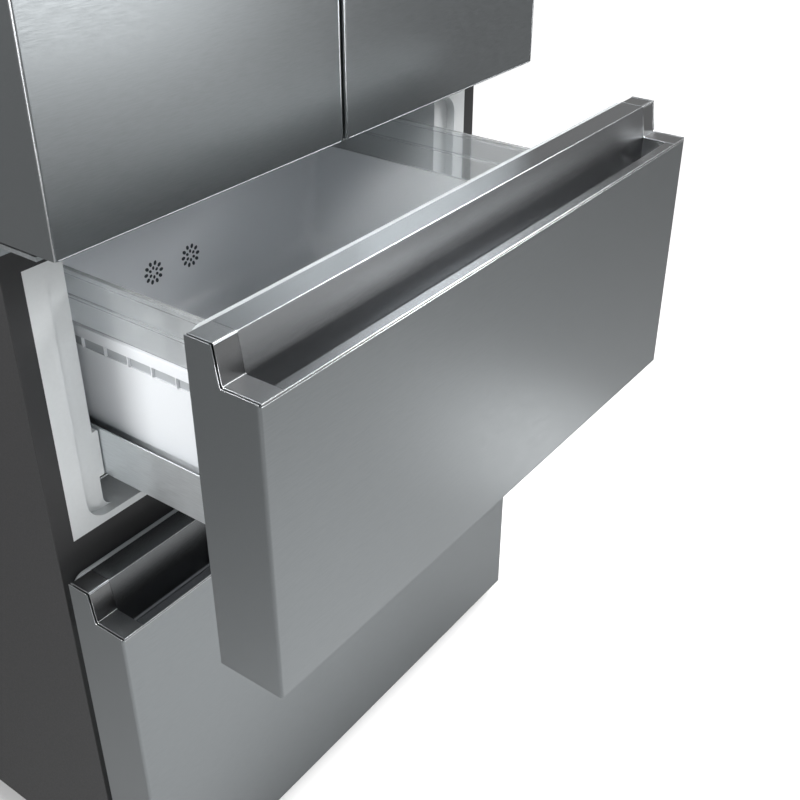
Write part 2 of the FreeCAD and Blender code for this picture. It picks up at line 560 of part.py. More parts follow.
def drawer_front(name, back, base, face):
    """One drawer front: folded steel, stepped grip with a finger pocket, end caps, inner panel and seal."""
    front = f"{back} - front_depth"
    shelf = f"{base} + {face}"

    def spot(deep, high):
        return (f"{front} + {deep}", f"{shelf} + {high}")

    rise = "grip_rise"
    brow = spot("grip_depth + grip_lean", rise)
    outline = [(front, base), (back, base), (back, f"{shelf} + grip_rise"), brow, spot("grip_depth", "0"),
               (front, shelf)]
    raw = profile(name + "_skin_raw", "YZ_Plane", f"-({HALF})", "case_width", outline)
    soft = rounded(name + "_skin_soft", raw, "edge_radius", 2, (HALF, front), (f"-({HALF})", front))
    inner = f"{HALF} - sheet"
    inset = f"{front} + sheet"
    room = box(name + "_room_raw", both(inner), (inset, f"{back} + sheet"),
               (f"{base} + sheet", f"{shelf} + 2 * grip_rise"))
    inside = rounded(name + "_room", room, "edge_radius - sheet", 2, (inner, inset), (f"-({inner})", inset))
    notch = box(name + "_notch", both(inner), (f"{front} - sheet", f"{front} + edge_radius + sheet"),
                (f"{shelf} - lip_height", f"{shelf} + sheet"))
    cut(name + "_front_panel", soft, inside, notch)
    skirt = "-pocket_depth - grip_wall"
    top_inside = "grip_rise - grip_wall"
    heel = "lip_depth - grip_wall"
    grip = profile(name + "_handle", "YZ_Plane", f"cap_width - {HALF}", "case_width - 2 * cap_width", [
        spot("0", "-lip_height"), spot("0", "0"), spot("lip_depth", "0"), spot("lip_depth", "-pocket_depth"),
        spot("grip_depth", "-pocket_depth"), spot("grip_depth", "0"), brow, spot("front_depth", rise),
        spot("front_depth", skirt), spot("front_depth - grip_wall", skirt),
        spot("front_depth - grip_wall", top_inside), spot("grip_depth + grip_lean + grip_wall", top_inside),
        spot("grip_depth + grip_wall", "0"), spot("grip_depth + grip_wall", skirt), spot(heel, skirt),
        spot(heel, "-lip_height")])
    soften(grip, "2 * grip_wall", 0, spot("lip_depth", "-pocket_depth"), spot("grip_depth", "-pocket_depth"))
    soften(grip, "lip_height / 2", 0, spot("0", "0"), spot("lip_depth", "0"), brow, spot("front_depth", rise))
    inward = f"{HALF} - cap_width + seam"
    outward = f"{HALF} - sheet - cap_seam"
    cap = profile(name + "_cap_raw", "YZ_Plane", inward, "cap_width - seam - sheet - cap_seam", [
        spot("0", "-lip_height"), spot("0", "0"), spot("grip_depth", "0"), brow, spot("front_depth", rise),
        spot("front_depth", skirt), spot(heel, skirt), spot(heel, "-lip_height")])
    soften(cap, "lip_height / 2", 0, spot("front_depth", rise))
    soften(cap, "cap_round", 0, brow)
    soften(cap, "edge_radius - sheet", 2, (outward, front))
    pair(name + "_handle_caps", cap)
    snug = both(f"{HALF} - sheet - seam / 2")
    close = f"{front} + sheet + seam / 2"
    panel = box(name + "_inner_raw", snug, (close, back), (f"{base} + sheet", f"{shelf} + {skirt}"))
    rounded(name + "_inner_panel", panel, "edge_radius - sheet", 2, *[(edge, close) for edge in snug])
    seal(name + "_gasket", both(f"{HALF} - gasket_inset"), back,
         (f"{base} + gasket_inset", f"{shelf} + grip_rise - gasket_edge"))


def runners(name, back, floor, rail_length, mid_length, blade_end, shift):
    """Telescopic runners: fixed blade on a foot, middle channel, and the drawer's lipped side over both."""
    outside = f"{HALF} - rail_side"
    low = f"{floor} + rail_lift"
    high = f"{low} + rail_tall"
    inside = f"{outside} - rail_deep"
    along = (back, f"{back} + {rail_length}")
    plate = box(name + "_rail_plate", about(f"{outside} - rail_sheet", outside), along, (low, high))
    roof = f"({high} - rail_lip)"
    top = box(name + "_rail_top", about(inside, outside), along, (f"{roof} - rail_sheet", roof))
    web = box(name + "_rail_web", about(inside, f"{inside} + rail_sheet"), along, (low, roof))
    ledge = box(name + "_rail_ledge", about(f"{inside} - rail_ledge", f"{inside} + rail_sheet"), along,
                (low, f"{low} + rail_sheet"))
    folded = fuse(name + "_rail_folded", plate, top, web, ledge)
    pair(name + "_side_rails", rounded(name + "_rail", folded, "rail_sheet / 2", 1, (outside, high)))
    middle = f"{inside} + rail_deep / 2"
    mid_top = f"{roof} - rail_sheet - rail_play - glide"
    start = f"{CASE_FRONT} + rebate_depth - {shift}"
    run = (start, f"{start} + {mid_length}")
    channel = box(name + "_mid_block", about(f"{middle} - mid_wide / 2", f"{middle} + mid_wide / 2"), run,
                  (f"{low} + glide", mid_top))
    slim = "(mid_wide / 2 - mid_sheet)"
    hollow = box(name + "_mid_room", about(f"{middle} - {slim}", f"{middle} + {slim}"),
                 (f"{start} - sheet", f"{start} + {mid_length} + sheet"),
                 (f"{low} - glide", f"{mid_top} - mid_sheet"))
    runner = box(name + "_mid_glide", about(f"{middle} - mid_sheet", f"{middle} + mid_sheet"), run,
                 (f"{mid_top} - mid_sheet", f"{mid_top} + glide"))
    pair(name + "_slides", fuse(name + "_slide", cut(name + "_channel", channel, hollow), runner))
    fixed = (f"{CASE_FRONT} + mouth_set", blade_end)
    web_low = f"{low} - bracket_gap - bar_sheet"
    blade = box(name + "_blade", about(f"{middle} - blade_sheet / 2", f"{middle} + blade_sheet / 2"), fixed,
                (web_low, f"{mid_top} - mid_sheet - rail_play"))
    foot = box(name + "_blade_foot", about(f"{middle} - blade_sheet / 2", DRAWER_HALF), fixed,
               (web_low, f"{web_low} + bar_sheet"))
    flange = box(name + "_blade_flange", about(f"{DRAWER_HALF} - bar_sheet", DRAWER_HALF), fixed,
                 (web_low, f"{low} - fit"))
    pair(name + "_rails", fuse(name + "_blade_bent", blade, foot, flange))


def upright_block(name, half, along, up, radius):
    """Block with its four upright edges rounded."""
    raw = box(name + "_raw", both(half), along, up)
    return rounded(name, raw, radius, 2, *[(side, deep) for side in both(half) for deep in along])


def tub(name, half, along, up, coved):
    """Moulded bin with rounded corners, an open top and, if coved, a rounded floor edge."""
    floor = f"{up[0]} + tub_floor"
    outer = upright_block(name + "_outer", half, along, up, "tub_radius")
    inner = upright_block(name + "_inner", f"{half} - tub_wall",
                          (f"{along[0]} + tub_wall", f"{along[1]} - tub_wall"), (floor, f"{up[1]} + sheet"),
                          "tub_radius - tub_wall")
    tool = bowl_bottom(name + "_bowl", inner, floor) if coved else inner
    under = f"{up[1]} - band_height"
    band = upright_block(name + "_band", f"{half} + band_reach", (along[0], f"{along[1]} + band_reach"),
                         (under, up[1]), "tub_radius")
    ribs = band_ribs(name + "_rib", half, along, under)
    return cut(name, fuse(name + "_outside", outer, band, *ribs), tool)


def bowl_bottom(name, source, level):
    """Round all edges at the lowest level of a tool, for the cove between floor and walls."""
    doc.recompute()
    item = doc.addObject("Part::Fillet", name)
    item.Base = source
    amount = value("tub_cove")
    height = value(level)
    item.Edges = [(number, amount, amount) for number, edge in enumerate(source.Shape.Edges, 1)
                  if abs(edge.BoundBox.ZMax - height) < 0.01]
    return item


def band_ribs(name, half, along, top):
    """Ribs under the rim band of a bin, on both sides at one spacing, and the thin ledge that they end in."""
    ribs = []
    foot = (f"{top} - rib_height - rib_ledge", f"{top} - rib_height")
    for side, place in (("right", about), ("left", left)):
        across = place(f"{half} - tub_wall / 2", f"{half} + band_reach - rib_ledge")
        ribs.append(box(f"{name}_ledge_{side}", across,
                        (f"{along[0]} + tub_radius", f"{along[1]} - tub_radius"), foot))
    count = int((value(along[1]) - value(along[0]) - 2 * value("tub_radius")) // value("rib_step"))
    for number in range(count + 1):
        start = f"{along[0]} + tub_radius + {number} * rib_step"
        for side, place in (("right", about), ("left", left)):
            across = place(f"{half} - tub_wall / 2", f"{half} + band_reach")
            ribs.append(box(f"{name}_{number}_{side}", across, (start, f"{start} + rib_thick"),
                            (f"{top} - rib_height", top)))
    return ribs


def rosettes(name, back, level):
    """Holes of two vent rosettes through a bin's back wall: an outer ring of ten, an inner one of six."""
    holes = []
    rings = (("ring_outer", "hole_outer", 10), ("ring_inner", "hole_inner", 6))
    for hand, side in (("left", -1), ("right", 1)):
        for ring, size, count in rings:
            for number in range(count):
                angle = 2 * math.pi * number / count
                cosine = round(math.cos(angle), 6)
                sine = round(math.sin(angle), 6)
                hole = doc.addObject("Part::Box", f"{name}_{ring}_{number}_{hand}")
                hole.Placement.Rotation = FreeCAD.Rotation(FreeCAD.Vector(0, 1, 0), -math.degrees(angle))
                bind(hole, Length=size, Width="4 * tub_wall", Height=f"{size} * 4 / 5")
                reach = f"({ring} - {size} / 2)"
                across = f"({cosine}) * {reach} + ({sine}) * {size} * 2 / 5"
                up = f"({sine}) * {reach} - ({cosine}) * {size} * 2 / 5"
                holes.append(place_at(hole, f"({side}) * rosette_pitch / 2 + {across}",
                                      f"{back} - 2 * tub_wall", f"{level} + {up}"))
    return holes


def upper_bin():
    """White bin with rim band, ribs and rosettes, and the clear wall that stands on it."""
    half = f"{HALF} - tub_side"
    along = (f"{OPEN_BACK} + tub_front", f"{OPEN_BACK} + tub_front + tub_depth")
    low = f"{DRAWER_FLOOR} + rail_lift + rail_sheet"
    rim = f"{UPPER_SHELF} - rim_drop"
    seat = f"{rim} - clear_height"
    bowl = tub("upper_tub", half, along, (low, seat), True)
    cut("upper_bin", bowl, *rosettes("rosette", along[1], f"{UPPER_SHELF} - rosette_drop"))
    bulge = f"{half} + band_reach"
    steps = (("wall", half, (seat, rim)), ("bead", bulge, (f"{rim} - bead_height", rim)),
             ("ledge", bulge, (f"{rim} - ledge_drop - bead_height / 2", f"{rim} - ledge_drop")))
    blocks = [upright_block(f"clear_{part}", reach, along, up, "tub_radius") for part, reach, up in steps]
    inside = upright_block("clear_inside", f"{half} - tub_wall",
                           (f"{along[0]} + tub_wall", f"{along[1]} - tub_wall"),
                           (f"{seat} - sheet", f"{rim} + sheet"), "tub_radius - tub_wall")
    cut("upper_bin_rim", fuse("clear_outside", *blocks), inside)


def freezer_bin():
    """Deep bin of the lower drawer with its rim band and ribs."""
    half = f"{HALF} - tub_side"
    along = (f"{FRONT_BACK} + tub_front", f"{FRONT_BACK} + tub_front + freezer_bin_depth")
    low = f"{FREEZER_FLOOR} + rail_lift + rail_sheet"
    tub("freezer_bin", half, along, (low, f"{low} + freezer_bin_tall"), False)


def fridge_inside():
    """Glass shelves with trims, crispers under the lowest one, air duct and ceiling lamp."""
    half = f"{CHILL_HALF} - shelf_gap"
    front = f"{CASE_FRONT} + seal_gap + dyke_height + bin_reach - shelf_front"
    back = f"{ROOM_BACK} - shelf_back - duct_depth"
    panes = []
    trims = []
    for number in range(3):
        low = f"{CHILL_FLOOR} + shelf_first + {number} * shelf_step"
        glazed = (f"{front} + trim_depth / 2", f"{back} - trim_depth / 2")
        panes.append(box(f"pane_{number}", both(half), glazed, (low, f"{low} + shelf_glass")))
        for end, start in (("front", front), ("back", f"{back} - trim_depth")):
            block = box(f"trim_block_{number}_{end}", both(f"{half} - ledge_width"),
                        (start, f"{start} + trim_depth"),
                        (f"{low} - shelf_trim / 2", f"{low} + shelf_trim / 2"))
            slot = box(f"trim_slot_{number}_{end}", both(f"{half} + sheet"), glazed,
                       (low, f"{low} + shelf_glass"))
            trims.append(cut(f"trim_{number}_{end}", block, slot))
    group("shelf_glass", *panes)
    group("shelf_frames", *trims)
    top = f"{CHILL_FLOOR} + shelf_first - shelf_trim / 2 - crisper_top_gap"
    face = f"{front} + crisper_front"
    far = f"{CHILL_HALF} - corner_radius"
    raw = box("crisper_raw", about("crisper_gap / 2", far), (face, back), (CHILL_FLOOR, top))
    soft = rounded("crisper_soft", raw, "corner_radius / 2", 2,
                   *[(side, deep) for side in ("crisper_gap / 2", far) for deep in (face, back)])
    room = box("crisper_room", about("crisper_gap / 2 + crisper_wall", f"{far} - crisper_wall"),
               (f"{face} + crisper_wall", f"{back} - crisper_wall"),
               (f"{CHILL_FLOOR} + crisper_wall", f"{top} + sheet"))
    hold = rod("crisper_hold_raw", "y", (f"({far}) / 2", f"{face} - sheet", f"{top} + corner_radius / 2"),
               "corner_radius", "crisper_wall + 2 * sheet")
    pair("crisper_bins", cut("crisper", soft, room, hold))
    plate = box("duct_block", both("duct_width / 2"), (f"{ROOM_BACK} - duct_depth", ROOM_BACK),
                (f"{CHILL_FLOOR} + duct_start", f"{CHILL_FLOOR} + duct_start + duct_height"))
    soft = rounded("duct_soft", plate, "duct_depth / 2", 2,
                   *[(side, f"{ROOM_BACK} - duct_depth") for side in both("duct_width / 2")])
    vents = []
    for number in range(4):
        low = f"{CHILL_FLOOR} + duct_start + duct_height * {number + 0.5} / 4"
        for side, place in (("right", about), ("left", left)):
            vents.append(box(f"vent_{number}_{side}", place("duct_width / 8", "duct_width * 3 / 8"),
                             (f"{ROOM_BACK} - 2 * duct_depth", f"{ROOM_BACK} - duct_depth / 2"),
                             (low, f"{low} + shelf_ledge")))
    cut("air_duct_cover", soft, *vents)
    raw = box("lamp_raw", both("lamp_width / 2"),
              (f"{front} + lamp_depth / 2", f"{front} + lamp_depth * 3 / 2"),
              (f"{CHILL_TOP} - lamp_height", CHILL_TOP))
    rounded("ceiling_light", raw, "lamp_height / 2", 1,
            *[(side, f"{CHILL_TOP} - lamp_height") for side in both("lamp_width / 2")])


def slot_row(name, half, length, pitch, along, up):
    """Level slots in a row that is even about the middle plane, as many as fit a sheet's half width."""
    count = int((value(half) - value(length)) // value(pitch))
    return [box(f"{name}_{number + count}", around(f"{number} * {pitch}", f"{length} / 2"), along, up)
            for number in range(-count, count + 1)]


def base_fittings():
    """Feet, rear rollers in their forks and the slotted kick plate."""
    foot = turned("foot", (f"{HALF} - foot_side", f"{CASE_FRONT} + foot_set"), [
        ("0", "0"), ("foot_radius", "0"), ("foot_radius", "foot_height"), ("stem_radius", "foot_height"),
        ("stem_radius", "floor_gap"), ("0", "floor_gap")])
    pair("levelling_feet", foot)
    deep = f"{CASE_BACK} - roller_set"
    middle = f"{HALF} - foot_side"
    gap = "roller_width / 2 + fork_gap"
    cheeks = []
    for side, sign in (("inner", "-1"), ("outer", "1")):
        edge = f"{middle} + ({sign}) * ({gap} + fork_sheet / 2)"
        cheeks.append(box(f"cheek_{side}", around(edge, "fork_sheet / 2"), around(deep, "roller_radius"),
                          ("roller_radius - 2 * axle_radius", "floor_gap")))
    axle = rod("roller_axle", "x", (f"{middle} - ({gap}) - fork_sheet", deep, "roller_radius"), "axle_radius",
               f"2 * ({gap} + fork_sheet)")
    pair("roller_brackets", fuse("roller_bracket", *cheeks, axle))
    wheel = rod("wheel", "x", (f"{middle} - roller_width / 2", deep, "roller_radius"), "roller_radius",
                "roller_width")
    bore = rod("wheel_bore", "x", (f"{middle} - roller_width", deep, "roller_radius"),
               "axle_radius + pin_play", "2 * roller_width")
    right = cut("rear_roller_right", wheel, bore)
    mirror("rear_roller_left", right)
    front = f"{CASE_FRONT} - kick_set"
    half = f"{HALF} - kick_side"
    face = box("kick_face", both(half), (front, f"{front} + kick_sheet"), ("kick_low", "floor_gap"))
    shelf = box("kick_shelf", both(half), (front, f"{CASE_FRONT} + kick_set"),
                ("floor_gap - kick_sheet", "floor_gap"))
    ends = [box(f"kick_end_{side}", place(f"{half} - kick_sheet", half), (front, CASE_FRONT),
                ("kick_low", "floor_gap")) for side, place in (("right", about), ("left", left))]
    slots = slot_row("kick_slot", half, "grille_slot", "grille_pitch",
                     (f"{front} - sheet", f"{front} + kick_sheet + sheet"),
                     ("kick_low + 3 * kick_sheet", "floor_gap - 4 * kick_sheet"))
    cut("kick_grille", fuse("kick_folded", face, shelf, *ends), *slots)


def fins(name, across, along, up, pitch):
    """Stack of plates on a core, with the stubs of its inlet and outlet tubes."""
    count = int((value(across[1]) - value(across[0])) // value(pitch))
    solids = []
    for number in range(count + 1):
        start = f"{across[0]} + {number} * {pitch}"
        solids.append(box(f"{name}_plate_{number}", (start, f"{start} + fin_sheet"), along, up))
    middle = f"(({along[0]}) + ({along[1]})) / 2"
    solids.append(box(f"{name}_core", across, (f"{middle} - tube_radius", f"{middle} + tube_radius"), up))
    stubs = ((f"{across[0]} - 2 * tube_radius", "2 * tube_radius + fin_sheet"),
             (f"{across[1]} - fin_sheet", "2 * tube_radius + fin_sheet"))
    for number, (start, length) in enumerate(stubs):
        level = f"{up[0]} + (({up[1]}) - ({up[0]})) * {number + 0.5} / 2"
        solids.append(rod(f"{name}_stub_{number}", "x", (start, middle, level), "tube_radius", length))
    return fuse(name, *solids)


def fan(name, axis, centre, radius, bore):
    """Hub with five flat set blades about an axis, running free on its shaft."""
    body = doc.addObject("PartDesign::Body", name)
    sketch = plane_sketch(body, name + "_hub_outline", "XY_Plane")
    for size in ("hub_radius", bore):
        round_line = Part.Circle(FreeCAD.Vector(), FreeCAD.Vector(0, 0, 1), value(size))
        circle = sketch.addGeometry(round_line, False)
        sketch.addConstraint(Sketcher.Constraint("Coincident", circle, 3, -1, 1))
        number = sketch.addConstraint(Sketcher.Constraint("Radius", circle, value(size)))
        sketch.setExpression(f"Constraints[{number}]", expr(size))
    hub = body.newObject("PartDesign::Pad", name + "_hub")
    hub.Profile = sketch
    bind(hub, Length="fan_depth / 2")
    blade = plane_sketch(body, name + "_blade_outline", "YZ_Plane")
    bind(blade, AttachmentOffset__Base__z="hub_radius - blade_thick")
    draw_loop(blade, [("-fan_depth / 3", "0"), ("blade_thick - fan_depth / 3", "0"),
                      ("fan_depth / 3", "fan_depth / 2"), ("fan_depth / 3 - blade_thick", "fan_depth / 2")])
    wing = body.newObject("PartDesign::Pad", name + "_blade")
    wing.Profile = blade
    bind(wing, Length=f"{radius} - hub_radius + blade_thick")
    turn = body.newObject("PartDesign::PolarPattern", name + "_blades")
    turn.Originals = [wing]
    turn.Axis = (sketch, ["N_Axis"])
    turn.Angle = 360
    turn.Occurrences = 5
    body.Tip = turn
    body.Placement.Rotation = FreeCAD.Rotation(*TURNS[axis])
    return place_at(body, *centre)


def machine_space():
    """Compressor, condenser with its fan, drain pan and the slotted rear cover."""
    deep = f"({MACHINE_FRONT} + {CASE_BACK}) / 2"
    low = "floor_gap + bar_sheet"
    heart = f"pump_inset - {HALF}"
    pump = turned("pump_shell", (heart, deep), [
        ("0", f"{low} + pump_foot"), ("pump_radius", f"{low} + pump_foot"),
        ("pump_radius", f"{low} + pump_height - pump_dome"),
        ("pump_radius * 2 / 3", f"{low} + pump_height"), ("0", f"{low} + pump_height")])
    plate = box("pump_plate", around(heart, "pump_radius"), around(deep, "pump_radius * 2 / 3"),
                (f"{low} + pump_foot / 2", f"{low} + pump_foot"))
    pads = [box(f"pump_pad_{one}_{two}", around(f"{heart} + ({one}) * pump_radius * 4 / 5", "pump_foot"),
                around(f"{deep} + ({two}) * pump_radius / 2", "pump_foot"), (low, f"{low} + pump_foot"))
            for one in (-1, 1) for two in (-1, 1)]
    fuse("compressor", pump, plate, *pads)
    coil = f"{HALF} - coil_inset"
    fins("condenser_coil", (coil, f"{coil} + coil_width"), around(deep, "coil_depth / 2"),
         (low, f"{low} + coil_height"), "fin_pitch")
    side = f"{coil} + coil_width + fan_side / 4"
    centre = f"{low} + fan_frame / 2"
    frame = box("fan_block", (side, f"{side} + fan_depth"), around(deep, "fan_frame / 2"),
                (low, f"{low} + fan_frame"))
    tunnel = rod("fan_tunnel", "x", (f"{side} - sheet", deep, centre), "fan_radius + fan_gap",
                 "fan_depth + 2 * sheet")
    shaft = rod("fan_shaft", "x", (f"{side} + blade_thick", deep, centre), "shaft_radius",
                "fan_depth - blade_thick")
    flat = (f"{side} + fan_depth - 2 * blade_thick", f"{side} + fan_depth")
    spokes = [box("fan_spoke_upright", flat, around(deep, "shaft_radius"), (low, f"{low} + fan_frame")),
              box("fan_spoke_level", flat, around(deep, "fan_frame / 2"), around(centre, "shaft_radius"))]
    fuse("condenser_fan_frame", cut("fan_open", frame, tunnel), shaft, *spokes)
    fan("condenser_fan", "x", (f"{side} + 2 * blade_thick", deep, centre), "fan_radius",
        "shaft_radius + pin_play")
    level = f"{low} + pump_height + pump_foot"
    pan = f"{heart} + pan_width / 4"
    solid = box("pan_block", around(pan, "pan_width / 2"), around(deep, "pan_depth / 2"),
                (level, f"{level} + pan_height"))
    hollow = box("pan_room", around(pan, "(pan_width / 2 - pan_wall)"),
                 around(deep, "(pan_depth / 2 - pan_wall)"),
                 (f"{level} + pan_wall", f"{level} + 2 * pan_height"))
    end = f"{pan} + pan_width / 2"
    legs = [box(f"pan_leg_{number}", (f"{end} - 4 * tube_radius", end),
                around(f"{deep} + ({number}) * pan_depth / 3", "tube_radius"), (low, f"{level} + pan_wall"))
            for number in (-1, 1)]
    seat = box("pan_seat", around(heart, "pump_radius / 4"), around(deep, "pump_radius / 4"),
               (f"{low} + pump_height", f"{level} + pan_wall"))
    fuse("drain_pan", cut("pan_open", solid, hollow), *legs, seat)
    raw = box("rear_sheet", both(f"{HALF} - sheet"), (f"{CASE_BACK} - sheet", CASE_BACK),
              (low, f"{MACHINE_TOP} - sheet"))
    vents = []
    for row in range(3):
        start = f"{low} + {row + 1} * cover_slot / 2"
        vents += slot_row(f"rear_slot_{row}", HALF, "cover_slot", "cover_pitch",
                          (f"{CASE_BACK} - 2 * sheet", f"{CASE_BACK} + sheet"),
                          (start, f"{start} + shelf_ledge"))
    cut("machine_cover", raw, *vents)


def cold_side():
    """Evaporator behind its cover in the freezer, with the fan that blows through the cover."""
    half = DRAWER_HALF
    sheet_back = f"{FREEZER_BACK} + cover_sheet"
    level = f"{STEP_TOP} + evap_fan_rise"
    raw = box("evap_sheet", both(half), (FREEZER_BACK, sheet_back), (STEP_TOP, FREEZER_TOP))
    corner = [(side, FREEZER_TOP) for side in both(half)]
    plate = rounded("evap_plate", raw, "mouth_radius", 1, *corner)
    hole = rod("evap_hole", "y", ("0", f"{FREEZER_BACK} - sheet", level), "fan_hole",
               "cover_sheet + 2 * sheet")
    slots = slot_row("evap_slot", half, "cover_slot", "cover_pitch",
                     (f"{FREEZER_BACK} - sheet", f"{sheet_back} + sheet"),
                     (f"{STEP_TOP} + 2 * shelf_ledge", f"{STEP_TOP} + 3 * shelf_ledge"))
    arms = [box("evap_arm", both("fan_hole + shaft_radius"), (sheet_back, f"{sheet_back} + cover_sheet"),
                (f"{level} - shaft_radius", f"{level} + shaft_radius")),
            rod("evap_shaft", "y", ("0", f"{FREEZER_BACK} - fan_depth / 2 + cover_sheet", level),
                "shaft_radius", "fan_depth / 2 + cover_sheet")]
    fuse("evaporator_cover", cut("evap_open", plate, hole, *slots), *arms)
    fan("evaporator_fan", "y", ("0", f"{FREEZER_BACK} - fan_depth / 2 + cover_sheet - sheet", level),
        "evap_fan_radius", "shaft_radius + pin_play")
    fins("evaporator", both("evap_width / 2"), (f"{ROOM_BACK} - evap_depth", ROOM_BACK),
         (STEP_TOP, f"{STEP_TOP} + evap_height"), "evap_fin")


cabinet_shell()
insulation()
liners()
hinges()
door("left_door", left)
door("right_door", about)
mullion()
drawer_front("upper", OPEN_BACK, UPPER_BASE, "upper_face")
drawer_front("lower", FRONT_BACK, "front_base", "lower_face")
runners("upper", OPEN_BACK, DRAWER_FLOOR, "upper_rail_length", "upper_mid_length",
        f"{ROOM_BACK} - upper_blade_end", "shown_opening / 2")
runners("lower", FRONT_BACK, FREEZER_FLOOR, "lower_rail_length", "lower_mid_length",
        f"{FREEZER_BACK} - lower_blade_end", "0")
upper_bin()
freezer_bin()
fridge_inside()
base_fittings()
machine_space()
cold_side()

NODES = [
    "case_shell", "back_panel", "base_frame", "insulation", "divider_bars", "fridge_liner",
    "upper_drawer_liner", "freezer_liner", "top_hinges", "hinge_covers", "mid_hinges", "shelf_glass",
    "shelf_frames", "crisper_bins", "air_duct_cover", "ceiling_light", "upper_rails", "lower_rails",
    "compressor", "condenser_coil", "condenser_fan_frame", "drain_pan", "machine_cover", "evaporator",
    "evaporator_cover", "levelling_feet", "roller_brackets", "kick_grille", "condenser_fan",
    "evaporator_fan", "rear_roller_left", "rear_roller_right", "left_door_panel", "left_door_caps",
    "left_door_liner", "left_door_gasket", "left_door_bins", "flip_mullion", "right_door_panel",
    "right_door_caps", "right_door_liner", "right_door_gasket", "right_door_bins", "upper_front_panel",
    "upper_handle", "upper_handle_caps", "upper_inner_panel", "upper_gasket", "upper_bin",
    "upper_bin_rim", "upper_side_rails", "upper_slides", "lower_front_panel", "lower_handle",
    "lower_handle_caps", "lower_inner_panel", "lower_gasket", "freezer_bin", "lower_side_rails",
    "lower_slides",
]

doc.recompute()
for item in doc.Objects:
    if "Invalid" in item.State or "Error" in item.State:
        raise RuntimeError(f"{item.Name} did not compute")
for name in NODES:
    shape = doc.getObject(name).Shape
    if shape.isNull() or not shape.isValid():
        raise RuntimeError(f"{name} has no valid shape")
    shape.exportStep(f"parts/{name}.step")
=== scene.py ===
"""Looks of a refrigerator with an open drawer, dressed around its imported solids."""

import logging
import math
from dataclasses import dataclass, field
from enum import Enum
from typing import Any

import bpy
import numpy as np
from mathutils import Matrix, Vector


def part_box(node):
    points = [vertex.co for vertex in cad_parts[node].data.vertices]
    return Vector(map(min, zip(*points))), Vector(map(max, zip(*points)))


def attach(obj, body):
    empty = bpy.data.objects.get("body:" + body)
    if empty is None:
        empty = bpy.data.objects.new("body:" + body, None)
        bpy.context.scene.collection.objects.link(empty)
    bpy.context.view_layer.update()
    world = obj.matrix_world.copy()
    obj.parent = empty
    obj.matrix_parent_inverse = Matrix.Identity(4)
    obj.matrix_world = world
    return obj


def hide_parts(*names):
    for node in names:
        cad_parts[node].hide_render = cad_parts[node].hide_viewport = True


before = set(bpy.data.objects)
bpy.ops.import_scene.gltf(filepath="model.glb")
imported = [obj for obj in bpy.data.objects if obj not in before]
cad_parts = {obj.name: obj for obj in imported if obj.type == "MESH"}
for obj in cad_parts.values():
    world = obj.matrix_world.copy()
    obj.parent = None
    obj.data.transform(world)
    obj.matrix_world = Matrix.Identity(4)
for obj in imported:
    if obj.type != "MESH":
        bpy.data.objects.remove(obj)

LOG = logging.getLogger("refrigerator")
MM = 0.001
HAIR = 1e-6
WHITE = (1.0, 1.0, 1.0, 1.0)
# How many times longer than wide a brush line is.
BRUSH_STRETCH = 15
# Noise keeps between these values for the most part.
NOISE_LOW, NOISE_HIGH = 0.3, 0.7
# Faces that meet at more than this stay sharp.
SHARP_DEGREES = 40
# Angles of the points round a thin edge or a petal.
ROUND = np.linspace(0, 2 * math.pi, 12, endpoint=False)
# Share of its radius by which a rounded edge lies inside its corner.
SEAT = 0.7
BEND_STEPS = 6


def linear(code: str) -> tuple[float, float, float, float]:
    """Turn an sRGB hex colour into linear light.

    Args:
        code: Six hex digits with a leading hash.

    Returns:
        Red, green, blue and an opacity of one.
    """
    channels = [int(code[place:place + 2], 16) / 255 for place in (1, 3, 5)]
    red, green, blue = [c / 12.92 if c <= 0.04045 else ((c + 0.055) / 1.055) ** 2.4
                        for c in channels]
    return red, green, blue, 1.0


def add_node(tree: bpy.types.NodeTree, kind: str, settings: dict[str, Any] | None = None,
             links: dict[str, Any] | None = None) -> bpy.types.Node:
    """Add a node, set its properties and sockets, and link its inputs.

    Args:
        tree: Node tree that takes the node.
        kind: Blender's type name of the node.
        settings: Values by socket name or, where no socket has that name, by property name.
        links: Output sockets by the name of the input that they feed.

    Returns:
        The new node.
    """
    node = tree.nodes.new(kind)
    for name, value in (settings or {}).items():
        if hasattr(node, name):
            setattr(node, name, value)
        else:
            node.inputs[name].default_value = value
    for name, output in (links or {}).items():
        tree.links.new(output, node.inputs[name])
    return node


class Grain(Enum):
    """Direction and kind of a surface's fine pattern."""

    NONE = "none"
    LEVEL_BRUSH = "level brush"
    LENGTH_BRUSH = "length brush"
    STIPPLE = "stipple"


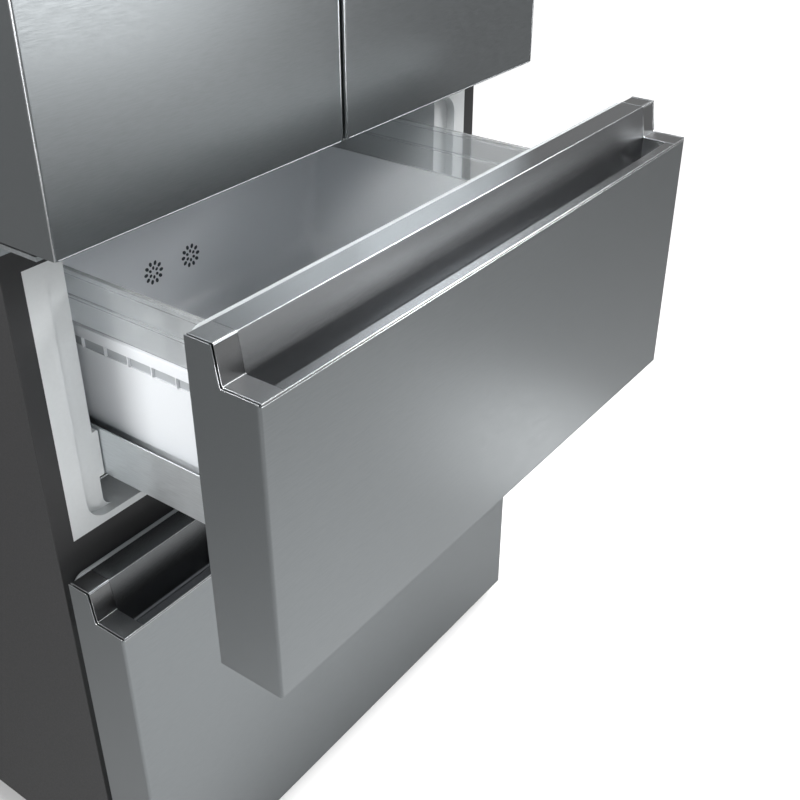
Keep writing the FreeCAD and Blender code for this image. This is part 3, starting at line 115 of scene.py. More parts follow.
@dataclass(frozen=True)
class Finish:
    """One real material with its surface, ready to be put on pieces.

    Attributes:
        name: The real material and how its surface was made.
        colour: Hex colour of the surface.
        roughness: Roughness of the gloss.
        metallic: One for bare metal.
        ior: Refractive index of what isn't metal.
        clear: Share of light that passes through.
        grain: Kind of fine pattern.
        pitch_mm: Spacing of the pattern, coarser than the real one where that wouldn't show.
        relief_mm: Height of the pattern's bump.
        spread: How far the pattern moves the roughness.
        shade: How far the pattern moves the brightness.
        coat: Weight of a clear coat.
        draw: How far lines along x draw the highlight out across them.
    """

    name: str
    colour: str
    roughness: float = 0.4
    metallic: float = 0.0
    ior: float = 1.5
    clear: float = 0.0
    grain: Grain = Grain.NONE
    pitch_mm: float = 1.0
    relief_mm: float = 0.0
    spread: float = 0.0
    shade: float = 0.0
    coat: float = 0.0
    draw: float = 0.0

    def material(self) -> bpy.types.Material:
        """Give this finish's material, made at its first use.

        Returns:
            A node material with a Principled shader.
        """
        known = bpy.data.materials.get(self.name)
        if known is not None:
            return known
        made = bpy.data.materials.new(self.name)
        made.use_nodes = True
        tree = made.node_tree
        shader = tree.nodes["Principled BSDF"]
        shader.inputs["Base Color"].default_value = linear(self.colour)
        shader.inputs["Roughness"].default_value = self.roughness
        shader.inputs["Metallic"].default_value = self.metallic
        shader.inputs["Coat Weight"].default_value = self.coat
        if self.metallic < 1:
            shader.inputs["IOR"].default_value = self.ior
        if self.clear > 0:
            shader.inputs["Transmission Weight"].default_value = self.clear
        if self.draw > 0:
            # Equal parts of y and z lie across lines along x, on level faces and on upright ones.
            across = add_node(tree, "ShaderNodeCombineXYZ", {"X": 0.0, "Y": 1.0, "Z": 1.0})
            tree.links.new(across.outputs["Vector"], shader.inputs["Tangent"])
            shader.inputs["Anisotropic"].default_value = self.draw
        if self.grain is not Grain.NONE:
            self.texture(tree, shader)
        return made

    def texture(self, tree: bpy.types.NodeTree, shader: bpy.types.Node) -> None:
        """Add the fine pattern to roughness and bump.

        The pattern is noise on Object coordinates. A brush is the same noise drawn out along
        its direction, so that it reads as fine parallel lines.

        Args:
            tree: The material's nodes.
            shader: Its Principled shader.
        """
        rate = 1 / (self.pitch_mm * MM)
        drawn_rate = rate / BRUSH_STRETCH
        scale = {Grain.LEVEL_BRUSH: (drawn_rate, rate, rate),
                 Grain.LENGTH_BRUSH: (rate, drawn_rate, rate),
                 Grain.STIPPLE: (rate, rate, rate)}[self.grain]
        place = add_node(tree, "ShaderNodeTexCoord")
        drawn = add_node(tree, "ShaderNodeMapping", {"Scale": scale},
                         {"Vector": place.outputs["Object"]})
        noise = add_node(tree, "ShaderNodeTexNoise",
                         {"Scale": 1.0, "Detail": 2.0, "Roughness": 0.6},
                         {"Vector": drawn.outputs["Vector"]})
        if self.spread > 0:
            gloss = self.ranged(tree, noise, self.roughness - self.spread,
                                self.roughness + self.spread)
            tree.links.new(gloss.outputs["Result"], shader.inputs["Roughness"])
        if self.shade > 0:
            level = self.ranged(tree, noise, 1 - self.shade, 1 + self.shade)
            tone = add_node(tree, "ShaderNodeHueSaturation", {"Color": linear(self.colour)},
                            {"Value": level.outputs["Result"]})
            tree.links.new(tone.outputs["Color"], shader.inputs["Base Color"])
        if self.relief_mm > 0:
            bump = add_node(tree, "ShaderNodeBump",
                            {"Strength": 1.0, "Distance": self.relief_mm * MM},
                            {"Height": noise.outputs["Fac"]})
            tree.links.new(bump.outputs["Normal"], shader.inputs["Normal"])

    def ranged(self, tree: bpy.types.NodeTree, noise: bpy.types.Node, low: float,
               high: float) -> bpy.types.Node:
        """Stretch the noise, which keeps near its middle, to a range.

        Args:
            tree: The material's nodes.
            noise: Its noise.
            low: Value at the noise's dark end.
            high: Value at its bright end.

        Returns:
            The node that gives the value.
        """
        span = {"From Min": NOISE_LOW, "From Max": NOISE_HIGH, "To Min": low, "To Max": high}
        return add_node(tree, "ShaderNodeMapRange", span, {"Value": noise.outputs["Fac"]})

    def dress(self, piece: bpy.types.Object) -> None:
        """Put this finish on a piece as its only material.

        Args:
            piece: Object that takes it.
        """
        piece.data.materials.clear()
        piece.data.materials.append(self.material())


# Level-brushed stainless sheet: a cool mid grey whose fine sideways lines draw reflections out up
# and down.
BRUSHED = Finish("stainless steel, level brushed", "#868a8c", roughness=0.33, metallic=1.0,
                 grain=Grain.LEVEL_BRUSH, pitch_mm=1.2, relief_mm=0.02, spread=0.05, shade=0.05)
# Satin anodised extrusion of the grips: smoother than the sheet, so the dark pocket shows in its
# riser. The lines of its drawing run along the grip and stretch each highlight across it.
GRIP = Finish("aluminium, satin anodised", "#808284", roughness=0.25, metallic=1.0,
              grain=Grain.LEVEL_BRUSH, pitch_mm=0.8, relief_mm=0.0005, spread=0.02, draw=0.9)
# Cast end caps of the grips, polished so that their rounded edges catch thin bright lines.
CAP = Finish("aluminium, cast and polished", "#838485", roughness=0.29, metallic=1.0,
             grain=Grain.STIPPLE, pitch_mm=0.8, spread=0.02)
# Hemmed edge of the steel sheet, much lighter than the face: painted highlight on its rounded edge.
HEM_HIGHLIGHT = Finish("stainless steel edge, painted highlight", "#d4d7d9", roughness=0.16, metallic=1.0,
             grain=Grain.STIPPLE, pitch_mm=3.0, relief_mm=0.0004, spread=0.02)
# Lower edge of the doors' sheet, sheared and left dull, so that it shows as a soft grey line.
SILL = Finish("stainless steel, sheared edge", "#8c8f91", roughness=0.38, metallic=1.0,
              grain=Grain.STIPPLE, pitch_mm=3.0, spread=0.02)
# Powder-coated case steel: charcoal with the dull fine orange peel of the powder.
CASE = Finish("steel, powder coated charcoal", "#282829", roughness=0.52, grain=Grain.STIPPLE,
              pitch_mm=1.8, relief_mm=0.03, spread=0.06, shade=0.05)
# Vacuum-formed polystyrene liner: near white with a soft sheen and faint waves from forming.
LINER = Finish("polystyrene, vacuum formed", "#d5d8d9", roughness=0.36, grain=Grain.STIPPLE,
               pitch_mm=6.0, relief_mm=0.02, spread=0.05, shade=0.015)
# Injection-moulded white bins, a clean satin white with a fine spark-eroded texture.
BIN = Finish("polypropylene, injection moulded white", "#dadde0", roughness=0.38,
             grain=Grain.STIPPLE, pitch_mm=2.0, relief_mm=0.01, spread=0.05, shade=0.01)
# Clear styrene walls and boxes: a little milky, with crisp bright edges.
CLEAR = Finish("polystyrene, injection moulded clear", "#f2f5f6", roughness=0.09, ior=1.55,
               clear=0.8, grain=Grain.STIPPLE, pitch_mm=5.0, relief_mm=0.006, spread=0.04)
# Roll-formed steel of the drawer sides, satin with lines along its length.
RAIL = Finish("steel, roll formed satin", "#eaeef0", roughness=0.42, metallic=1.0,
              grain=Grain.LENGTH_BRUSH, pitch_mm=1.5, relief_mm=0.01, spread=0.06, shade=0.05)
# Zinc-plated brackets and sheets: a dull light metal with a faint cloudy spangle.
ZINC = Finish("steel, zinc plated", "#a9adaf", roughness=0.42, metallic=1.0, grain=Grain.STIPPLE,
              pitch_mm=7.0, relief_mm=0.006, spread=0.1, shade=0.08)
# Extruded soft vinyl seal, pale grey and matt with lines of the die.
SEAL = Finish("vinyl, extruded soft", "#a6aaac", roughness=0.6, grain=Grain.STIPPLE, pitch_mm=1.5,
              relief_mm=0.02, shade=0.03)
# Moulded dark ABS of caps and covers, with an etched matt texture.
DARK = Finish("ABS, moulded dark grey", "#2a2b2c", roughness=0.5, grain=Grain.STIPPLE, pitch_mm=1.5,
              relief_mm=0.02, shade=0.05)
# Rigid polyurethane foam, cream and dull, full of small cells.
FOAM = Finish("polyurethane, rigid foam", "#d8c893", roughness=0.9, grain=Grain.STIPPLE,
              pitch_mm=2.0, relief_mm=0.1, shade=0.08)
# Tempered float glass of the shelves with a faint green cast.
GLASS = Finish("float glass, tempered", "#eaf4f1", roughness=0.03, ior=1.52, clear=1.0,
               grain=Grain.STIPPLE, pitch_mm=40.0, relief_mm=0.01, spread=0.02)
# Black enamelled compressor pot, glossy over a faint orange peel.
ENAMEL = Finish("steel, black enamelled", "#151515", roughness=0.25, grain=Grain.STIPPLE,
                pitch_mm=3.0, relief_mm=0.02, coat=0.4)
# Drawn copper tube and plates, warm with dull patches of oxide.
COPPER = Finish("copper, drawn", "#b8764f", roughness=0.35, metallic=1.0, grain=Grain.STIPPLE,
                pitch_mm=4.0, spread=0.1, shade=0.12)
# Rolled aluminium plates of the evaporator, light and a little streaky.
FINS = Finish("aluminium, rolled", "#c9ccce", roughness=0.3, metallic=1.0, grain=Grain.LEVEL_BRUSH,
              pitch_mm=2.0, spread=0.06, shade=0.04)
# Opal acrylic lamp cover, white with a soft sheen.
OPAL = Finish("acrylic, opal", "#f1f0ec", roughness=0.3, grain=Grain.STIPPLE, pitch_mm=3.0,
              relief_mm=0.01)
# Grey moulded nylon of fans, feet, rollers and pan, matt and slightly mottled.
NYLON = Finish("nylon, moulded grey", "#5b5d5f", roughness=0.5, grain=Grain.STIPPLE, pitch_mm=2.0,
               relief_mm=0.02, shade=0.05)
# Thin moulded web between the ribs, grey against the white band: painted shade under the band.
WEB_SHADE = Finish("polypropylene web, painted shade", "#a3a7aa", roughness=0.4, grain=Grain.STIPPLE,
             pitch_mm=2.0, relief_mm=0.01, shade=0.02)
# Vent holes as flat near-black petals: painted shade, since little light gets back out of holes.
HOLE_SHADE = Finish("vent hole, painted shade", "#33383e", roughness=0.7, grain=Grain.STIPPLE, pitch_mm=2.0,
              shade=0.1)

NODES_BY_FINISH: dict[Finish, tuple[str, ...]] = {
    BRUSHED: ("left_door_panel", "right_door_panel", "upper_front_panel", "lower_front_panel"),
    GRIP: ("upper_handle", "lower_handle"),
    CAP: ("upper_handle_caps", "lower_handle_caps"),
    CASE: ("case_shell", "divider_bars"),
    LINER: ("fridge_liner", "upper_drawer_liner", "freezer_liner", "left_door_liner",
            "right_door_liner", "upper_inner_panel", "lower_inner_panel", "evaporator_cover",
            "air_duct_cover"),
    BIN: ("upper_bin", "freezer_bin", "shelf_frames"),
    CLEAR: ("upper_bin_rim", "crisper_bins", "left_door_bins", "right_door_bins"),
    RAIL: ("upper_side_rails", "lower_side_rails"),
    ZINC: ("upper_slides", "lower_slides", "upper_rails", "lower_rails", "back_panel", "base_frame",
           "machine_cover", "top_hinges", "mid_hinges", "roller_brackets"),
    SEAL: ("left_door_gasket", "right_door_gasket", "upper_gasket", "lower_gasket"),
    DARK: ("left_door_caps", "right_door_caps", "kick_grille", "hinge_covers", "flip_mullion"),
    FOAM: ("insulation",),
    GLASS: ("shelf_glass",),
    ENAMEL: ("compressor",),
    COPPER: ("condenser_coil",),
    FINS: ("evaporator",),
    OPAL: ("ceiling_light",),
    NYLON: ("condenser_fan_frame", "condenser_fan", "evaporator_fan", "drain_pan",
            "rear_roller_left", "rear_roller_right", "levelling_feet"),
}
NODE_FINISHES = {node: finish for finish, nodes in NODES_BY_FINISH.items() for node in nodes}


def surface(name: str, points: np.ndarray, around: bool, caps: bool = False) -> bpy.types.Object:
    """Make a smooth mesh from a grid of points.

    Args:
        name: The piece's name.
        points: Rows of points, with shape (rows, columns, 3), in metres.
        around: True where the last row joins the first.
        caps: True to close the first and the last column with one face each.

    Returns:
        The new object, linked to the scene.
    """
    rows, columns = points.shape[:2]
    row = np.arange(rows if around else rows - 1)[:, None]
    column = np.arange(columns - 1)[None, :]
    after = (row + 1) % rows
    here, there = row * columns + column, after * columns + column
    quads = np.stack([here, there, there + 1, here + 1], axis=-1).reshape(-1, 4)
    faces = quads.tolist()
    if caps:
        ring = np.arange(rows) * columns
        faces += [ring[::-1].tolist(), (ring + columns - 1).tolist()]
    return linked(name, points.reshape(-1, 3), faces)


def linked(name: str, points: np.ndarray, faces: list[list[int]]) -> bpy.types.Object:
    """Make a mesh object of points and faces, smooth apart from its sharp edges.

    Args:
        name: The piece's name.
        points: Points with shape (count, 3), in metres.
        faces: Corner numbers of each face.

    Returns:
        The new object, linked to the scene.
    """
    mesh = bpy.data.meshes.new(name)
    mesh.from_pydata(points.tolist(), [], faces)
    mesh.polygons.foreach_set("use_smooth", np.ones(len(mesh.polygons), bool))
    mesh.set_sharp_from_angle(angle=math.radians(SHARP_DEGREES))
    mesh.update()
    piece = bpy.data.objects.new(name, mesh)
    bpy.context.scene.collection.objects.link(piece)
    return piece


def rounded_ring(half: np.ndarray, radius: np.ndarray, steps: int = 8) -> np.ndarray:
    """Give rings of points on rounded rectangles about the origin.

    A point is its corner's centre plus the radius times the unit vector at its angle, so that
    each quarter of the turn belongs to one corner and the sides are the runs between corners.

    Args:
        half: Half width and half depth of each ring, with shape (rings, 2).
        radius: Corner radius of each ring.
        steps: Steps in each corner.

    Returns:
        Points with shape (points, rings, 2).
    """
    turn = np.linspace(0, math.pi / 2, steps + 1)
    angle = (np.arange(4)[:, None] * math.pi / 2 + turn).ravel()
    signs = np.repeat(np.array([[1, 1], [-1, 1], [-1, -1], [1, -1]], float), steps + 1, axis=0)
    unit = np.stack([np.cos(angle), np.sin(angle)], axis=-1)
    centres = signs[:, None, :] * (half - radius[:, None])[None]
    return centres + unit[:, None, :] * radius[None, :, None]


def arc(centre: tuple[float, float], radius: float, first: float, last: float,
        steps: int) -> np.ndarray:
    """Give points along a circle's arc between two angles in degrees.

    Args:
        centre: The circle's centre.
        radius: Its radius.
        first: Angle of the first point.
        last: Angle of the last point.
        steps: Steps between them.

    Returns:
        Points with shape (steps + 1, 2).
    """
    angle = np.radians(np.linspace(first, last, steps + 1))
    return np.array(centre) + radius * np.stack([np.cos(angle), np.sin(angle)], axis=-1)


def straight_tube(start: tuple[float, float, float], end: tuple[float, float, float],
                  radius: float) -> np.ndarray:
    """Carry a circle along a straight line that is parallel to an axis.

    Args:
        start: First point of the line.
        end: Its last point.
        radius: Radius of the circle.

    Returns:
        Points with shape (around, along, 3).
    """
    ends = np.array([start, end])
    ahead = (ends[1] - ends[0]) / np.linalg.norm(ends[1] - ends[0])
    side = np.roll(ahead, 1)
    angle = ROUND[:, None, None]
    return ends[None] + radius * (np.cos(angle) * side + np.sin(angle) * np.cross(ahead, side))


@dataclass
class DoorHems:
    """Edges of one door's steel sheet: upright ones lighter as painted highlight, and the lower
    one.

    Attributes:
        panel: Node of the door's steel.
        body: Body that the door belongs to.
        radius: Radius of an upright edge.
        sill_radius: Radius of the lower edge.
        inset: How far an upright edge's middle lies inside the sheet's side, and the right one's
            behind its face.
        set_back: How far the left one's middle lies behind the face, so that it stands out more.
        sill_rise: Height of the lower edge's middle over the sheet's foot.
        sill_depth: How far that middle lies behind the sheet's face.
        sill_end: How far the lower edge ends before the sheet's sides.
    """

    panel: str
    body: str
    radius: float = 1.2 * MM
    sill_radius: float = 0.9 * MM
    inset: float = 1.1 * MM
    set_back: float = 0.7 * MM
    sill_rise: float = 0.45 * MM
    sill_depth: float = 0.27 * MM
    sill_end: float = 4.4 * MM

    def build(self) -> None:
        """Make the three edges and dress them."""
        low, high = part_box(self.panel)
        near, back = low.y + self.set_back, low.y + self.inset
        sill = low.z + self.sill_rise
        left, right = low.x + self.inset, high.x - self.inset
        front = low.y + self.sill_depth
        edges = {"hem_left": straight_tube((left, near, sill), (left, near, high.z),
                                           self.radius),
                 "hem_right": straight_tube((right, back, sill), (right, back, high.z),
                                            self.radius),
                 "hem_low": straight_tube((low.x + self.sill_end, front, sill),
                                          (high.x - self.sill_end, front, sill), self.sill_radius)}
        for kind, points in edges.items():
            piece = surface(f"{self.body}_{kind}", points, True, True)
            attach(piece, self.body)
            # The upright edges take the painted highlight colour; the lower edge stays a dull steel
            # grey.
            (SILL if kind == "hem_low" else HEM_HIGHLIGHT).dress(piece)
            LOG.info("%s of %s", kind, self.panel)


@dataclass
class DrawerHems:
    """Edges of one drawer front, lighter than its faces as painted highlight.

    They are the steel's hem, the grip's lip and brow, and the end caps' rims, beads and heels.

    Attributes:
        panel: Node of the folded steel front.
        caps: Node of the two end caps.
        body: Body that the drawer belongs to.
        radius: Radius of an edge.
        bend: Radius of the two bends at the riser.
        grip_rise: Height of the grip over the step.
        grip_depth: Depth of the step.
        grip_lean: How far the riser leans back over its height.
        lip: Height of the grip's lip over the sheet's edge.
        bead: Radius of the rounder edge on a cap's brow.
        cap_width: Width of an end cap with the sheet beside it.
        drop: How far the middle of an edge along the step lies inside the step's faces.
    """

    panel: str
    caps: str
    body: str
    radius: float = 0.7 * MM
    bend: float = 3 * MM
    grip_rise: float = 44 * MM
    grip_depth: float = 49 * MM
    grip_lean: float = 6 * MM
    lip: float = 3 * MM
    bead: float = 2.4 * MM
    cap_width: float = 35 * MM
    drop: float = 0.42 * MM

    def build(self) -> None:
        """Make all edges and dress them."""
        low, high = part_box(self.panel)
        inner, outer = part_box(self.caps)
        edges = {"hem_left": self.tube(low.x + self.radius, low, high),
                 "hem_right": self.tube(high.x - self.radius, low, high),
                 "rim_left": self.tube(inner.x + self.radius, low, high),
                 "rim_right": self.tube(outer.x - self.radius, low, high)}
        shelf = high.z - self.grip_rise
        brow = (low.y + self.grip_depth + self.grip_lean, high.z)
        ends = (low.x + self.cap_width, high.x - self.cap_width)
        edges["lap_right"] = self.tube(ends[1], low, high)
        outside = 2 * SEAT * self.radius
        heel = (low.y + self.grip_depth - outside, shelf + outside)
        edges["heel_left"] = self.level((inner.x, ends[0]), heel, self.radius)
        edges["heel_right"] = self.level((ends[1], outer.x), heel, self.radius)
        edges["brow"] = self.level(ends, brow, self.radius)
        edges["bead_left"] = self.level((inner.x, ends[0]), brow, self.bead)
        edges["bead_right"] = self.level((ends[1], outer.x), brow, self.bead)
        edges["lip"] = self.level((inner.x, outer.x), (low.y, shelf), self.radius)
        edges["hem_front"] = self.level((inner.x, outer.x), (low.y, shelf - self.lip),
                                        self.radius)
        for kind, points in edges.items():
            piece = surface(f"{self.body}_{kind}", points, True, True)
            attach(piece, self.body)
            # Every edge takes the painted highlight colour.
            HEM_HIGHLIGHT.dress(piece)
            LOG.info("%s of %s", kind, self.panel)

    def level(self, ends: tuple[float, float], corner: tuple[float, float],
              radius: float) -> np.ndarray:
        """Carry a circle along a level edge, set in from its corner by most of its radius.

        Args:
            ends: Where the edge starts and ends across the front.
            corner: Depth and height of the edge's corner.
            radius: Radius of the circle.

        Returns:
            Points with shape (around, along, 3).
        """
        place = (corner[0] + SEAT * radius, corner[1] - SEAT * radius)
        return straight_tube((ends[0], *place), (ends[1], *place), radius)

    def tube(self, place: float, low: Vector, high: Vector) -> np.ndarray:
        """Carry a circle along the step's outline.

        The outline runs along the grip's top, down its leaning riser and along the step, with its
        two corners rounded, and the circle stands square to it at each point.

        Args:
            place: Distance of the edge from the middle plane.
            low: Lowest corner of the steel front.
            high: Highest corner of the steel front.

        Returns:
            Points with shape (around, along, 3).
        """
        top, step = high.z - self.drop, high.z - self.grip_rise - self.drop
        heel = low.y + self.grip_depth + self.drop
        tilt = math.degrees(math.atan2(self.grip_lean, self.grip_rise))
        path = np.concatenate([
            [[high.y, top]],
            arc((heel + self.grip_lean + self.bend, top - self.bend), self.bend, 90, 180 - tilt,
                BEND_STEPS),
            arc((heel - self.bend, step + self.bend), self.bend, -tilt, -90, BEND_STEPS),
            [[low.y + 2 * self.radius, step]]])
        ahead = np.gradient(path, axis=0)
        ahead /= np.linalg.norm(ahead, axis=1, keepdims=True)
        square = np.stack([-ahead[:, 1], ahead[:, 0]], axis=-1)
        angle = ROUND[:, None]
        points = np.empty((len(ROUND), len(path), 3))
        points[..., 0] = place - self.radius * np.cos(angle)
        points[..., 1:] = path + self.radius * np.sin(angle)[..., None] * square
        return points


@dataclass(frozen=True)
class PetalRing:
    """One ring of petals in a vent rosette.

    Attributes:
        count: Number of petals.
        radius: Distance of their middles from the rosette's middle.
        long: Half length of a petal.
        wide: Half width of a petal.
        shift: Turn of the ring, as a share of the step between petals.
    """

    count: int
    radius: float
    long: float
    wide: float
    shift: float

    def petals(self) -> np.ndarray:
        """Give each petal's middle, turn, half length and half width.

        Returns:
            Rows of x, z, angle, half length and half width.
        """
        turn = (np.arange(self.count) + self.shift) * 2 * math.pi / self.count
        return np.stack([self.radius * np.cos(turn), self.radius * np.sin(turn), turn,
                         np.full(self.count, self.long), np.full(self.count, self.wide)], axis=-1)


PETAL_RINGS = (PetalRing(10, 15.2 * MM, 3.9 * MM, 2.9 * MM, 0.0),
               PetalRing(6, 7.4 * MM, 3.0 * MM, 2.4 * MM, 0.5))


@dataclass
class MouldedBin:
    """Upper drawer's white bin, with rim band, ribs and vent rosettes.

    Its floor is coved, and its sides are tucked in between the rails.

    Attributes:
        node: Node that the bin replaces.
        rails: Node of the folded sides that it stands between.
        body: Body that it rides on.
        reach: How far the rim band stands out of the wall.
        wall: Thickness of the wall.
        radius: Radius of the upright corners.
        cove: Radius between floor and walls.
        tuck: How far the sides step in between the rails.
        tuck_drop: How far below the rails' top they do.
        band: Height of the rim band.
        rib: Height of the ribs under it.
        rib_step: Spacing of the ribs.
        rib_thick: Thickness of a rib.
        vent_pitch: Distance between the rosettes.
        vent_level: Height of the rosettes over the floor of the room.
        foot: Radius under the walls, outside.
        fold: Radius where the sides step in.
        ledge: Height and reach of the thin ledge under the ribs.
        rim: Radius of the rim's two edges.
        least: Smallest radius of the upright corners.
        rib_root: How far a rib runs into the wall.
        web_out: How far the web lies outside the wall.
        vent_out: How far the rosettes lie before the back wall.
    """

    node: str = "upper_bin"
    rails: str = "upper_side_rails"
    body: str = "upper_drawer"
    reach: float = 4 * MM
    wall: float = 3 * MM
    radius: float = 25 * MM
    cove: float = 40 * MM
    tuck: float = 14 * MM
    tuck_drop: float = 8.8 * MM
    band: float = 15 * MM
    rib: float = 14 * MM
    rib_step: float = 40 * MM
    rib_thick: float = 1.4 * MM
    vent_pitch: float = 77 * MM
    vent_level: float = 815 * MM
    foot: float = 8 * MM
    fold: float = 3 * MM
    ledge: float = 2 * MM
    rim: float = 1 * MM
    least: float = 6 * MM
    rib_root: float = 1 * MM
    web_out: float = 0.2 * MM
    vent_out: float = 0.25 * MM

    def build(self) -> None:
        """Make the shell, the ribs, the web between them and the rosettes, and dress them."""
        low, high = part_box(self.node)
        shell = self.shell(low, high)
        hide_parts(self.node)
        # The web and the rosettes are dressed dark as painted shade.
        pieces = ((shell, BIN), (self.ribs(low, high), BIN), (self.web(low, high), WEB_SHADE),
                  (self.rosettes(high), HOLE_SHADE))
        for piece, finish in pieces:
            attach(piece, self.body)
            finish.dress(piece)
            LOG.info("bin piece %s", piece.name)

    def shell(self, low: Vector, high: Vector) -> bpy.types.Object:
        """Carry the wall's section round a rounded rectangle.

        The section gives a distance out of the wall and a height. It runs from the underside up
        the outside, over band and rim, and down the inside to the coved floor. Below the tuck's
        level the two sides, but not front and back, move in by the tuck.

        Args:
            low: Lowest corner of the node.
            high: Its highest corner.

        Returns:
            The shell as one closed piece.
        """
        top, floor = high.z, low.z + self.wall
        under, shelf = top - self.band, top - self.band - self.rib
        inner, edge = -self.wall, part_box(self.rails)[1].z - self.tuck_drop
        section = np.concatenate([
            arc((-self.foot, low.z + self.foot), self.foot, -90, 0, steps=5), [[0, edge]],
            arc((-self.fold, edge + self.fold), self.fold, -60, 0, steps=4),
            [[0, shelf - self.ledge], [self.ledge, shelf - self.ledge], [self.ledge, shelf],
             [0, shelf], [0, under], [self.reach, under]],
            arc((self.reach - self.rim, top - self.rim), self.rim, 0, 90, steps=3),
            arc((inner + self.rim, top - self.rim), self.rim, 90, 180, steps=3),
            [[inner, edge]],
            arc((inner - self.cove, floor + self.cove), self.cove, 0, -90, steps=12)])
        out, height = section[:, 0], section[:, 1]
        half = np.array([high.x - self.reach, (high.y - self.reach - low.y) / 2])
        sides = half[None] + out[:, None]
        sides[:, 0] -= self.tuck * (height <= edge + HAIR)
        ring = rounded_ring(sides, np.maximum(self.radius + out, self.least))
        points = np.empty(ring.shape[:2] + (3,))
        points[..., :2] = ring + [0, low.y + half[1]]
        points[..., 1] = np.maximum(points[..., 1], low.y)
        points[..., 2] = height[None]
        return surface("upper_bin_shell", points, True, True)

    def ribs(self, low: Vector, high: Vector) -> bpy.types.Object:
        """Set one bar at each step along both sides, under the rim band.

        Args:
            low: Lowest corner of the node.
            high: Its highest corner.

        Returns:
            All ribs as one piece.
        """
        start = np.arange(low.y + self.radius, high.y - self.radius, self.rib_step)
        unit = np.array([[0, 0, 0], [1, 0, 0], [1, 1, 0], [0, 1, 0],
                         [0, 0, 1], [1, 0, 1], [1, 1, 1], [0, 1, 1]], float)
        bar = unit * [self.reach + self.rib_root, self.rib_thick, self.rib]
        bar += [high.x - self.reach - self.rib_root, 0, high.z - self.band - self.rib]
        right = bar[None] + np.stack([0 * start, start, 0 * start], axis=-1)[:, None]
        bars = np.concatenate([right, right * [-1, 1, 1]])
        sides = np.array([[0, 3, 2, 1], [4, 5, 6, 7], [0, 1, 5, 4],
                          [1, 2, 6, 5], [2, 3, 7, 6], [3, 0, 4, 7]])
        faces = np.arange(len(bars))[:, None, None] * len(unit) + sides
        faces[len(right):] = faces[len(right):, :, ::-1]
        return linked("upper_bin_ribs", bars.reshape(-1, 3), faces.reshape(-1, 4).tolist())

    def web(self, low: Vector, high: Vector) -> bpy.types.Object:
        """Lay a flat strip of painted shade on each side, from the rim band to the ledge under the
        ribs.

        Args:
            low: Lowest corner of the node.
            high: Its highest corner.

        Returns:
            Both strips as one piece.
        """
        out = high.x - self.reach + self.web_out
        top = high.z - self.band
        along = np.array([low.y, high.y - self.reach]) + self.radius * np.array([1, -1])
        right = np.array([[out, along[0], top - self.rib], [out, along[1], top - self.rib],
                          [out, along[1], top], [out, along[0], top]])
        both = np.concatenate([right, right * [-1, 1, 1]])
        return linked("upper_bin_web", both, [[0, 1, 2, 3], [7, 6, 5, 4]])

    def rosettes(self, high: Vector) -> bpy.types.Object:
        """Lay petals in two rings on the back wall, for each of the two vents.

        A petal is a flat ellipse of painted shade, its long axis pointing to the middle of its
        ring.

        Args:
            high: Highest corner of the node.

        Returns:
            All petals as one piece.
        """
        petals = np.concatenate([ring.petals() for ring in PETAL_RINGS])
        shift = np.array([self.vent_pitch / 2, 0, 0, 0, 0])
        both = np.concatenate([petals - shift, petals + shift])
        middle_x, middle_z, turn, long, wide = both.T[:, :, None]
        along, across = np.cos(ROUND) * long, np.sin(ROUND) * wide
        x = middle_x + along * np.cos(turn) - across * np.sin(turn)
        z = self.vent_level + middle_z + along * np.sin(turn) + across * np.cos(turn)
        y = np.full_like(x, high.y - self.reach - self.wall - self.vent_out)
        faces = np.arange(x.size).reshape(x.shape).tolist()
        return linked("upper_bin_rosettes", np.stack([x, y, z], axis=-1).reshape(-1, 3), faces)


@dataclass
class BellowsSeal:
    """Magnetic seal of one front, a soft tube with folds carried round the front's back.

    Attributes:
        node: Seal node that the piece replaces.
        body: Body that it rides on.
        width: Width of the foot.
        corner: Radius of the corners at the middle of the foot.
        least: Smallest radius of the corners.
        fullness: Power of the superellipse, which nears a rectangle towards zero.
        waist: Share of the width that a fold takes in.
        points: Points round the section, the first one twice.
    """

    node: str
    body: str
    width: float = 14 * MM
    corner: float = 12 * MM
    least: float = 4 * MM
    fullness: float = 0.45
    waist: float = 0.3
    points: int = 41

    def build(self) -> None:
        """Make the seal, put it in its node's place and dress it."""
        piece = surface(self.node + "_bellows", self.tube(), True)
        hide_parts(self.node)
        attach(piece, self.body)
        SEAL.dress(piece)
        LOG.info("seal %s", self.node)

    def tube(self) -> np.ndarray:
        """Carry the section round a rounded rectangle.

        The section is a superellipse as wide as the foot and as high as the node. Its width is
        taken in by two waists, the square of a sine of the height, which are the folds.

        Returns:
            Points with shape (around, section, 3).
        """
        low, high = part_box(self.node)
        turn = np.linspace(0, 2 * math.pi, self.points)
        flat = np.sign(np.cos(turn)) * np.abs(np.cos(turn)) ** self.fullness
        rise = np.sign(np.sin(turn)) * np.abs(np.sin(turn)) ** self.fullness
        level = (rise + 1) / 2
        out = self.width / 2 * flat * (1 - self.waist * np.sin(2 * math.pi * level) ** 2)
        half = np.array([(high.x - low.x) / 2, (high.z - low.z) / 2]) - self.width / 2
        ring = rounded_ring(half[None] + out[:, None], np.maximum(self.corner + out, self.least))
        points = np.empty(ring.shape[:2] + (3,))
        points[..., 0] = ring[..., 0] + (low.x + high.x) / 2
        points[..., 2] = ring[..., 1] + (low.z + high.z) / 2
        points[..., 1] = low.y + (high.y - low.y) * level[None]
        return points


@dataclass
class Solids:
    """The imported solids, which keep their meshes and take finishes.

    Attributes:
        finishes: Finish by node name.
    """

    finishes: dict[str, Finish] = field(default_factory=lambda: dict(NODE_FINISHES))

    def dress(self) -> None:
        """Put each node's finish on it."""
        for name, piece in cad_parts.items():
            self.finishes[name].dress(piece)
            LOG.info("solid %s: %s", name, self.finishes[name].name)


